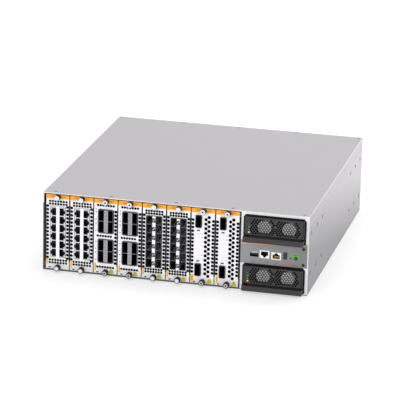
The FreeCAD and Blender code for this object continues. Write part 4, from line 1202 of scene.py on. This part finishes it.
# ---------------------------------------------------------------- sub-assemblies
@dataclass
class SheetMetal:
    """The fixed sheet metal of the case and what is fastened in it."""

    cover: Colour = tone(188, 185, 189)
    # Painted highlight of the cover's and frame's front faces and bends.
    rim: Colour = tone(252, 250, 254)
    # Painted shade of the tray's front lip under the module plates.
    lip_shade: Colour = tone(84, 82, 87)
    sheet: float = 1.2
    slack: float = 0.1
    beyond: float = 10.0
    front_holes: float = 21.0
    rear_holes: float = 109.5

    def build(self) -> None:
        """Dress the fixed nodes."""
        low, high = span("chassis_tray")
        cover_low, top = span("top_cover")
        outer = ((-high.x, low.y, 0.0), (high.x, high.y, top.z))
        far, over, rear = self.beyond, top.z + self.beyond, high.y + self.beyond
        skin = self.sheet + self.slack
        wall, front = high.x - skin, low.y + self.slack
        paint = PowderCoat(
            "cover_powder_coat", self.cover, outer, (-wall, front, -far), (wall, rear, top.z - skin),
            self.rim, (cover_low.z,),
        )
        dress("top_cover", paint.material())
        groups = (low.y + self.front_holes, high.y - self.rear_holes)
        paint = PowderCoat(
            "tray_powder_coat", self.cover, outer, (-wall, front, skin), (wall, rear, over),
            self.lip_shade, (), groups,
        )
        dress("chassis_tray", paint.material())
        paint = PowderCoat(
            "rear_powder_coat", self.cover, outer, (-far - wall, front, -far),
            (far + wall, high.y - skin, over), self.cover,
        )
        dress("rear_panel", paint.material())
        paint = PowderCoat(
            "frame_powder_coat", self.cover, outer, (-wall, front, -far), (wall, rear, over), self.rim,
        )
        dress("power_bay_frame", paint.material())
        dress("module_rails", Plated("rail_plating", (0.5, 0.5, 0.52), 0.36, (60.0, 1.0, 1.0)).material())
        dress("slide_guides", Moulded("guide_plastic", tone(40, 40, 43)).material())
        dress("backplane", Laminate("backplane_laminate", Axis.X).material())
        dress("power_inlets", Moulded("inlet_plastic", tone(36, 36, 38), 0.42).material())
        LOG.info("case dressed")


@dataclass
class CoverScrews:
    """Flush screws with a cross recess, at the places of the part's own screws."""

    head: float = 5.2
    shank: float = 2.8
    length: float = 6.0
    recess: float = 1.5
    recess_depth: float = 1.1
    recess_taper: float = 0.75
    slot_width: float = 0.55
    sides: int = 24
    places: list[tuple[Place, Place]] = field(default_factory=list)

    def find_places(self) -> None:
        """Read each screw's head from the node of screws.

        The node's mesh falls apart into one loose part for each screw, and the head's face is its flat end.
        """
        mesh = bmesh.new()
        mesh.from_mesh(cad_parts["chassis_screws"].data)
        bmesh.ops.remove_doubles(mesh, verts=mesh.verts, dist=1e-7)
        left = set(mesh.verts)
        while left:
            island, edge = set(), [left.pop()]
            while edge:
                vert = edge.pop()
                island.add(vert)
                for link in vert.link_edges:
                    other = link.other_vert(vert)
                    if other in left:
                        left.discard(other)
                        edge.append(other)
            spans = [max(v.co[k] for v in island) - min(v.co[k] for v in island) for k in range(3)]
            along = spans.index(max(spans))
            ends = (min(v.co[along] for v in island), max(v.co[along] for v in island))
            middle = [(max(v.co[k] for v in island) + min(v.co[k] for v in island)) / 2 for k in range(3)]
            widths = []
            for end in ends:
                near = [v for v in island if abs(v.co[along] - end) < 1e-5]
                widths.append(max((v.co - near[0].co).length for v in near))
            outer = 1 if widths[1] > widths[0] else 0
            middle[along] = ends[outer]
            way = [0.0, 0.0, 0.0]
            way[along] = 1.0 if outer else -1.0
            self.places.append((tuple(middle), tuple(way)))
        mesh.free()

    def add_screw(self, piece: Piece, at: Place, way: Place) -> None:
        """Add one screw.

        Args:
            piece: The piece that it is added to.
            at: Middle of its head's face, in metres.
            way: Direction in which its head looks.
        """
        mesh = piece.mesh
        start = set(mesh.verts)
        arm, half = self.recess, self.slot_width / 2
        outline = [
            (arm, -half), (arm, half), (half, half), (half, arm), (-half, arm), (-half, half),
            (-arm, half), (-arm, -half), (-half, -half), (-half, -arm), (half, -arm), (half, -half),
        ]
        cross = [mesh.verts.new((x * MM, y * MM, 0.0)) for x, y in outline]
        cross_edges = [mesh.edges.new((a, b)) for a, b in zip(cross, cross[1:] + cross[:1])]
        ring = bmesh.ops.create_circle(mesh, segments=self.sides, radius=self.head / 2 * MM)["verts"]
        ring_edges = list({edge for vert in ring for edge in vert.link_edges})
        bmesh.ops.bridge_loops(mesh, edges=cross_edges + ring_edges)
        floor = bmesh.ops.extrude_edge_only(mesh, edges=cross_edges)["geom"]
        floor_verts = [v for v in floor if isinstance(v, bmesh.types.BMVert)]
        bmesh.ops.translate(mesh, vec=(0.0, 0.0, -self.recess_depth * MM), verts=floor_verts)
        bmesh.ops.scale(mesh, vec=(self.recess_taper, self.recess_taper, 1.0), verts=floor_verts)
        bmesh.ops.holes_fill(mesh, edges=[e for e in floor if isinstance(e, bmesh.types.BMEdge)], sides=0)
        taper = (self.head - self.shank) / 2
        rim = ring_edges
        for drop, radius in ((taper, self.shank / 2), (self.length, self.shank / 2)):
            step = bmesh.ops.extrude_edge_only(mesh, edges=rim)["geom"]
            verts = [v for v in step if isinstance(v, bmesh.types.BMVert)]
            rim = [e for e in step if isinstance(e, bmesh.types.BMEdge)]
            for vert in verts:
                flat = Vector((vert.co.x, vert.co.y, 0.0)).normalized() * radius * MM
                vert.co = (flat.x, flat.y, -drop * MM)
        bmesh.ops.holes_fill(mesh, edges=rim, sides=0)
        new = [v for v in mesh.verts if v not in start]
        finish = 1 if way[1] < -0.5 else 0
        for face in {face for vert in new for face in vert.link_faces}:
            face.material_index = finish
        turn = Vector((0.0, 0.0, 1.0)).rotation_difference(Vector(way)).to_matrix()
        bmesh.ops.rotate(mesh, matrix=turn, verts=new)
        bmesh.ops.translate(mesh, vec=Vector(at), verts=new)

    def build(self) -> None:
        """Replace the plain screws."""
        self.find_places()
        steel = Plated("screw_plating", (0.36, 0.36, 0.38), 0.34, (1.0, 1.0, 1.0)).material()
        black = Plated("screw_blacking", (0.05, 0.05, 0.055), 0.3, (1.0, 1.0, 1.0)).material()
        piece = Piece("cover_screws", "case", "screw_steel", [steel, black])
        for at, way in self.places:
            self.add_screw(piece, at, way)
        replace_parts(piece.finish(), "chassis_screws")
        LOG.info("%d flush screws", len(self.places))


@dataclass
class Thumbscrew:
    """Captive thumbscrew with a knurled grip."""

    node: str
    end: End
    recessed: bool
    plate: float
    knurls: int = 40
    knurl_depth: float = 0.26
    knurl_start: float = 0.5
    knurl_end: float = 5.8
    bore: float = 1.5
    bore_depth: float = 2.6
    shank: float = 1.5
    top_margin: float = 0.75
    bottom_margin: float = 1.35

    def build(self, bright: bpy.types.Material, dark: bpy.types.Material, pit: bpy.types.Material) -> None:
        """Build the screw and let it stand for its node.

        Args:
            bright: Finish of the face.
            dark: Finish of the knurled grip.
            pit: Finish of the drive recess, dark as painted shade.
        """
        low, high = span(self.node)
        axis = ((low.x + high.x) / 2, low.y, (low.z + high.z) / 2)
        tip = high.y - low.y
        grip = (high.z - low.z) / 2
        length = self.plate - low.y
        piece = Piece(f"{self.node}_turned", self.node, "screw_steel", [bright, dark, pit])
        bore = self.bore
        centre = [(0.0, 0.0)]
        if self.recessed:
            centre = [(0.0, self.bore_depth), (bore, self.bore_depth), (bore, 0.0)]
        profile = centre + [
            (grip - 1.75, 0.0), (grip - 1.6, 0.18), (grip - 1.3, 0.18), (grip - 1.15, 0.0), (grip - 0.6, 0.0),
            (grip, 0.65), (grip, 5.6), (grip - 0.38, 6.0), (grip - 0.38, 6.5), (grip - 0.05, 6.8),
            (grip - 0.05, 8.3), (grip - 0.3, length - 0.05), (self.shank, length - 0.05),
            (self.shank, tip - 0.6), (self.shank - 0.5, tip), (0.0, tip),
        ]
        verts = piece.turned(profile, axis, steps=2 * self.knurls)
        middle = Vector(axis) * MM
        for vert in verts:
            out = Vector((vert.co.x - middle.x, 0.0, vert.co.z - middle.z))
            deep = vert.co.y - middle.y
            if out.length > (grip - 0.02) * MM and self.knurl_start * MM < deep < self.knurl_end * MM:
                place = round(math.atan2(out.z, out.x) / math.tau * 2 * self.knurls)
                if place % 2:
                    valley = 1.0 - self.knurl_depth / grip
                    vert.co.x = middle.x + out.x * valley
                    vert.co.z = middle.z + out.z * valley
        face_edge = grip - (self.top_margin if self.end is End.TOP else self.bottom_margin)
        for face in piece.mesh.faces:
            spot = face.calc_center_median()
            radius = math.hypot(spot.x - middle.x, spot.z - middle.z) / MM
            deep = (spot.y - middle.y) / MM
            # Painted shade: the drive recess takes the dark pit finish.
            if deep > 0.3 and radius < self.bore + 0.05 and deep < 3.0:
                face.material_index = 2
            elif deep > 0.3 or radius > face_edge:
                face.material_index = 1 if deep < length - 0.2 else 0
        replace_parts(piece.finish(28.0), self.node)


@dataclass
class ModuleFace:
    """One plug-in module: its finishes, lamps and socket details."""

    number: int
    kind: Kind
    lamp_green: bpy.types.Material
    lamp_amber: bpy.types.Material
    lamp_red: bpy.types.Material
    dark: bpy.types.Material
    contact: bpy.types.Material
    quad_half: float = 20.2
    pair_half: float = 10.55
    socket_rows: int = 6
    socket_pitch: float = 13.97
    contact_offset: float = 3.3
    pipe_half: float = 3.7

    def __post_init__(self) -> None:
        """Read the module's place from the part."""
        self.name = f"module_{self.number}"
        self.low, self.high = span(f"{self.name}_faceplate")
        self.left = self.low.x - CELL_INSET
        self.front = self.low.y
        self.ports_low, self.ports_high = span(f"{self.name}_ports")
        self.half_width = HALF_WIDTHS[self.kind]
        self.middle = self.ports_high.x - self.half_width

    def blocks(self, half: float) -> tuple[tuple[float, float], ...]:
        """Middle and half height of the upper and the lower block of sockets."""
        return ((self.ports_high.z - half, half), (self.ports_low.z + half, half))

    def finishes(self) -> None:
        """Dress the module's nodes."""
        label = LABELS[self.number - 1]
        paint = ModulePaint(f"{self.name}_paint", self.low, self.high, self.kind, label)
        dress(f"{self.name}_faceplate", paint.material())
        dress(f"{self.name}_board", Laminate(f"{self.name}_laminate").material())
        front = self.ports_low.y
        centre = (self.ports_low.z + self.ports_high.z) / 2
        half = (self.ports_high.z - self.ports_low.z) / 2
        if self.kind is Kind.NETWORK:
            look = JackFront(f"{self.name}_jacks", self.middle, front, centre, self.half_width, half)
        elif self.kind is Kind.QUAD:
            look = CageFront(
                f"{self.name}_cages", self.middle, front, self.half_width, self.blocks(self.quad_half), 3.3,
                tone(170, 168, 171),
            )
        elif self.kind is Kind.CAGE:
            look = CageFront(
                f"{self.name}_cages", self.middle, front, self.half_width, ((centre, half),), 3.15,
                tone(88, 86, 90), rim=tone(52, 50, 54), rim_width=0.8, line=tone(70, 68, 72),
                divider=tone(110, 108, 112), setback=1.5, pocket=tone(56, 54, 58), deep=tone(236, 232, 238),
            )
        else:
            look = CageFront(
                f"{self.name}_sockets", self.middle, front, self.half_width, self.blocks(self.pair_half),
                -1.0, tone(20, 19, 22), rim=tone(26, 25, 28), rim_width=0.9, line=tone(62, 60, 64),
                divider=tone(16, 15, 18), pocket=tone(12, 11, 13),
            )
        dress(f"{self.name}_ports", look.material())

    def lamp(self, piece: Piece, u: float, z: float, radius: float, finish: int) -> None:
        """Add one round lamp lens that stands a little proud of the plate."""
        profile = [(0.0, -0.22), (radius * 0.6, -0.17), (radius * 0.9, -0.06), (radius, 0.15), (0.0, 0.15)]
        piece.turned(profile, (self.left + u, self.front, z), 14, finish)

    def ejector(self, piece: Piece) -> None:
        """Add the dark oval button low on the left.

        Args:
            piece: The piece that it is added to.
        """
        x = self.left + 7.0
        z = self.low.z + 2.1
        piece.block((x - 1.75, self.front - 0.35, z - 1.0), (x + 1.75, self.front + 0.3, z + 1.0), 0.3, 3)

    def contacts(self) -> None:
        """Add the spring contacts inside the network sockets."""
        piece = Piece(f"{self.name}_contacts", self.name, "screw_steel", [self.contact])
        centre = (self.ports_low.z + self.ports_high.z) / 2
        near, far = self.front + 3.2, self.front + 9.5
        for side in (-1, 1):
            x = self.middle + side * self.contact_offset
            for row in range(self.socket_rows):
                z = centre + (row - (self.socket_rows - 1) / 2) * self.socket_pitch
                for wire in range(WIRES):
                    at = z + (wire - (WIRES - 1) / 2) * WIRE_PITCH
                    piece.block((x - 0.15, near, at - 0.2), (x + 0.15, far, at + 0.2))
        piece.finish()

    def light_strip(self) -> None:
        """Add the pale blocks and arrow marks along the strip between two columns of small cages."""
        pale = Moulded(f"{self.name}_light_pipe", tone(246, 246, 248), 0.35).material()
        piece = Piece(f"{self.name}_light_strip", self.name, "jack_plastic", [pale])
        pitch = (self.ports_high.z - self.ports_low.z) / self.socket_rows
        y = self.ports_low.y
        for row in range(self.socket_rows + 1):
            z = self.ports_low.z + row * pitch
            z0 = max(z - self.pipe_half, self.ports_low.z + 0.3)
            z1 = min(z + self.pipe_half, self.ports_high.z - 0.3)
            piece.block((self.middle - 2.6, y - 0.25, z0), (self.middle + 2.6, y + 1.2, z1), 0.3)
        for row in range(self.socket_rows):
            z = self.ports_low.z + (row + 0.5) * pitch
            for side in (-1, 1):
                piece.block(
                    (self.middle + side * 1.2 - 0.5, y + 0.9, z + side * 0.9 - 1.0),
                    (self.middle + side * 1.2 + 0.5, y + 2.3, z + side * 0.9 + 1.0), 0.2,
                )
        piece.finish()

    def small_parts(self) -> None:
        """Add lamps, marks and the oval button."""
        piece = Piece(
            f"{self.name}_lamps", self.name, "button_plastic",
            [self.lamp_green, self.lamp_amber, self.lamp_red, self.dark],
        )
        self.ejector(piece)
        if self.kind is Kind.QUAD:
            for z in (113.0, 108.3, 96.0, 89.3, 76.8, 58.0, 46.0, 39.2, 27.2):
                self.lamp(piece, 4.0, z, 1.05, 3)
        if self.kind is Kind.PAIR:
            for z, finish in ((88.5, 0), (85.6, 1), (81.8, 2), (51.8, 0), (46.8, 2)):
                self.lamp(piece, 13.2, z, 0.6, finish)
            for z in (93.5, 41.95):
                x = self.left + 12.75
                low, high = (x - 2.5, self.front - 0.3, z - 1.1), (x + 2.5, self.front + 0.3, z + 1.1)
                piece.block(low, high, 0.3, 3)
        piece.finish()

    def build(self) -> None:
        """Build and dress the module."""
        self.finishes()
        self.small_parts()
        if self.kind is Kind.NETWORK:
            self.contacts()
        if self.kind is Kind.CAGE:
            self.light_strip()
        LOG.info("%s, %s", self.name, self.kind.value)


@dataclass
class PowerUnit:
    """One plug-in power unit: finishes and its column of lamps."""

    level: Level
    lamps: tuple[int, ...]
    finishes: list[bpy.types.Material]
    baffle: float = 11.7
    face_depth: float = 6.0
    lamp_middle: float = 123.9
    lamp_rises: tuple[float, ...] = (29.0, 24.6, 20.0, 15.6)

    def build(self) -> None:
        """Dress the unit's nodes and add its lamps."""
        name = f"power_{self.level.value}"
        low, high = span(f"{name}_bezel")
        hubs = tuple(front_middle(f"{name}_{side.value}_fan") for side in Side)
        dress(f"{name}_bezel", BezelPlastic(f"{name}_bezel_plastic", low, high, hubs).material())
        baffle = span(f"{name}_housing")[0].y + self.baffle
        dress(f"{name}_housing", HousingPlate(f"{name}_housing_plating", baffle).material())
        for side, (x, z) in zip(Side, hubs):
            fan = f"{name}_{side.value}_fan"
            dress(fan, FanPlastic(f"{fan}_plastic", x, z).material())
        piece = Piece(f"{name}_lamps", name, "button_plastic", self.finishes)
        face = low.y + self.face_depth
        for rise, finish in zip(self.lamp_rises, self.lamps):
            x, z = self.lamp_middle, low.z + rise
            piece.block((x - 1.3, face - 0.3, z - 1.1), (x + 1.3, face + 0.4, z + 1.1), 0.3, finish)
        piece.finish()
        LOG.info("power unit, %s", self.level.value)


@dataclass
class ManagementPanel:
    """Grey panel between the power units with its sockets, display and button."""

    contact: bpy.types.Material
    dark: bpy.types.Material
    line_left: float = 78.3
    line_right: float = 83.2
    sockets: tuple[tuple[float, float], ...] = ((141.0, 157.0), (160.1, 176.1))
    display: tuple[float, float] = (179.4, 185.9)
    bus: tuple[float, float] = (125.5, 138.6)
    wire_rows: tuple[float, ...] = (59.6, 61.4)
    digits: tuple[float, ...] = (58.9, 64.2)
    digit_height: float = 4.6
    glass_inset: float = 0.9

    def build(self) -> None:
        """Dress the panel, its board and its button, and add the contacts and the display's glass."""
        low, high = span("management_panel")
        paint = PanelPaint("panel_paint", low.x, high.x, self.line_left, self.line_right)
        dress("management_panel", paint.material())
        board = ControlBoard("control_board_finish", low.y - 0.3, self.sockets, self.display, self.bus)
        dress("control_board", board.material())
        near, far = span("push_button")
        middle = (near + far) / 2
        button = ButtonPlastic("button_plastic", middle.x, middle.z, (far.x - near.x) / 2)
        dress("push_button", button.material())
        wires = Piece("management_contacts", "case", "screw_steel", [self.contact])
        socket = sum(self.sockets[1]) / 2
        for wire in range(WIRES):
            x = socket + (wire - (WIRES - 1) / 2) * WIRE_PITCH
            for z in self.wire_rows:
                wires.block((x - 0.35, low.y + 1.4, z - 0.4), (x + 0.35, low.y + 7.5, z + 0.4))
        wires.finish()
        glass = Piece("management_display", "case", "button_plastic", [self.dark])
        x0, x1 = self.display[0] + self.glass_inset, self.display[1] - self.glass_inset
        for z in self.digits:
            glass.block((x0, low.y - 0.25, z), (x1, low.y + 0.2, z + self.digit_height), 0.2)
        glass.finish()
        LOG.info("management panel")


@dataclass
class Studio:
    """Floor, lights and camera."""

    camera_place: Place = (0.960636, -4.161919, 1.425416)
    right: Place = (0.97172655, 0.23501928, 0.02265962)
    up: Place = (-0.09221485, 0.2894173, 0.95275078)
    forward: Place = (-0.21735671, 0.92790278, -0.30290674)
    lens: float = 238.6145
    floor_radius: float = 14.0

    def soft_box(
        self, name: str, at: Place, size: float, power: float, look: Place = (0.0, 0.0, 0.06)
    ) -> None:
        """Add one square soft light that looks at a place.

        Args:
            name: The light's name.
            at: Its place.
            size: Its side.
            power: Its power in watts.
            look: The place that it faces.
        """
        lamp = bpy.data.lights.new(name, "AREA")
        lamp.size = size
        lamp.energy = power
        holder = bpy.data.objects.new(name, lamp)
        holder.location = at
        holder.rotation_euler = (Vector(look) - Vector(at)).to_track_quat("-Z", "Y").to_euler()
        bpy.context.scene.collection.objects.link(holder)

    def floor(self) -> None:
        """Add the plain pale floor."""
        mesh = bmesh.new()
        bmesh.ops.create_circle(mesh, cap_ends=True, segments=64, radius=self.floor_radius)
        data = bpy.data.meshes.new("floor")
        mesh.to_mesh(data)
        mesh.free()
        shade = Shade("floor_paper")
        shade.set(
            base_color=shade.mix(shade.noise(900.0), (0.54, 0.54, 0.54), (0.56, 0.56, 0.56)),
            roughness=0.9,
            emission_color=(1.0, 1.0, 1.0),
            emission_strength=0.5,
        )
        data.materials.append(shade.material)
        plane = bpy.data.objects.new("floor", data)
        bpy.context.scene.collection.objects.link(plane)

    def camera(self) -> None:
        """Add the camera at its place."""
        data = bpy.data.cameras.new("camera")
        data.lens = self.lens
        data.sensor_width = 36.0
        data.clip_end = 100.0
        holder = bpy.data.objects.new("camera", data)
        turn = Matrix((self.right, self.up, tuple(-c for c in self.forward))).transposed().to_4x4()
        holder.matrix_world = Matrix.Translation(self.camera_place) @ turn
        bpy.context.scene.collection.objects.link(holder)
        bpy.context.scene.camera = holder

    def build(self) -> None:
        """Build the studio."""
        world = bpy.data.worlds.new("studio")
        world.use_nodes = True
        background = world.node_tree.nodes["Background"]
        background.inputs["Color"].default_value = (1.0, 1.0, 1.0, 1.0)
        background.inputs["Strength"].default_value = 0.6
        bpy.context.scene.world = world
        bpy.context.scene.view_settings.view_transform = "Standard"
        self.floor()
        self.soft_box("front_light", (-1.6, -3.6, 1.7), 2.2, 45.0)
        self.soft_box("right_light", (3.2, -0.8, 1.5), 1.8, 6.0)
        self.soft_box("side_light", (1.3, 1.1, 0.35), 0.8, 9.0, (0.2, 0.35, 0.07))
        self.soft_box("top_light", (0.0, 0.8, 3.2), 2.4, 44.5)
        self.camera()
        LOG.info("studio")


def main() -> None:
    """Dress the part and build the studio."""
    logging.basicConfig(level=logging.INFO, format="%(name)s: %(message)s")
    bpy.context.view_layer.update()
    SheetMetal().build()
    CoverScrews().build()
    bright = Plated("knob_face", (0.86, 0.86, 0.88), 0.3, (1.0, 1.0, 1.0)).material()
    # Darker copy of the knob face: painted shade for the lower knobs of recessed modules.
    shaded_knob_face = Plated("knob_face_shaded", (0.6, 0.6, 0.62), 0.36, (1.0, 1.0, 1.0)).material()
    grip = Plated("knob_grip", (0.02, 0.02, 0.022), 0.4, (0.6, 0.6, 0.6)).material()
    dark = Moulded("dark_plastic_and_recess_shade", tone(34, 34, 37), 0.38).material()
    gold = Plated("contact_gold", (0.85, 0.45, 0.14), 0.25, (1.0, 1.0, 1.0)).material()
    # Dark copy of the gold: painted shade on the contacts deep in the network sockets.
    shaded_gold = Plated("contact_gold_shaded", (0.12, 0.09, 0.06), 0.3, (1.0, 1.0, 1.0)).material()
    green = Lens("lamp_green", tone(54, 146, 66), 0.12).material()
    amber = Lens("lamp_amber", tone(252, 178, 84), 0.45).material()
    red = Lens("lamp_red", tone(235, 100, 80), 0.3).material()
    unlit = Lens("lamp_unlit", tone(58, 60, 60)).material()
    faint = Lens("lamp_faint_green", tone(44, 92, 58), 0.1).material()
    for number, kind in enumerate(MODULES, 1):
        face = ModuleFace(number, kind, green, amber, red, dark, shaded_gold)
        face.build()
        recessed = kind in (Kind.QUAD, Kind.PAIR)
        for end in End:
            screw = Thumbscrew(f"module_{number}_{end.value}_screw", end, recessed, face.front)
            # Painted shade: the lower knobs of recessed modules take the darker face.
            screw.build(shaded_knob_face if recessed and end is End.BOTTOM else bright, grip, dark)
    lamps = [unlit, faint, green, amber]
    PowerUnit(Level.UPPER, (0, 2, 2, 3), lamps).build()
    PowerUnit(Level.LOWER, (1, 2, 2, 3), lamps).build()
    ManagementPanel(gold, dark).build()
    Studio().build()


if __name__ == "__main__":
    main()
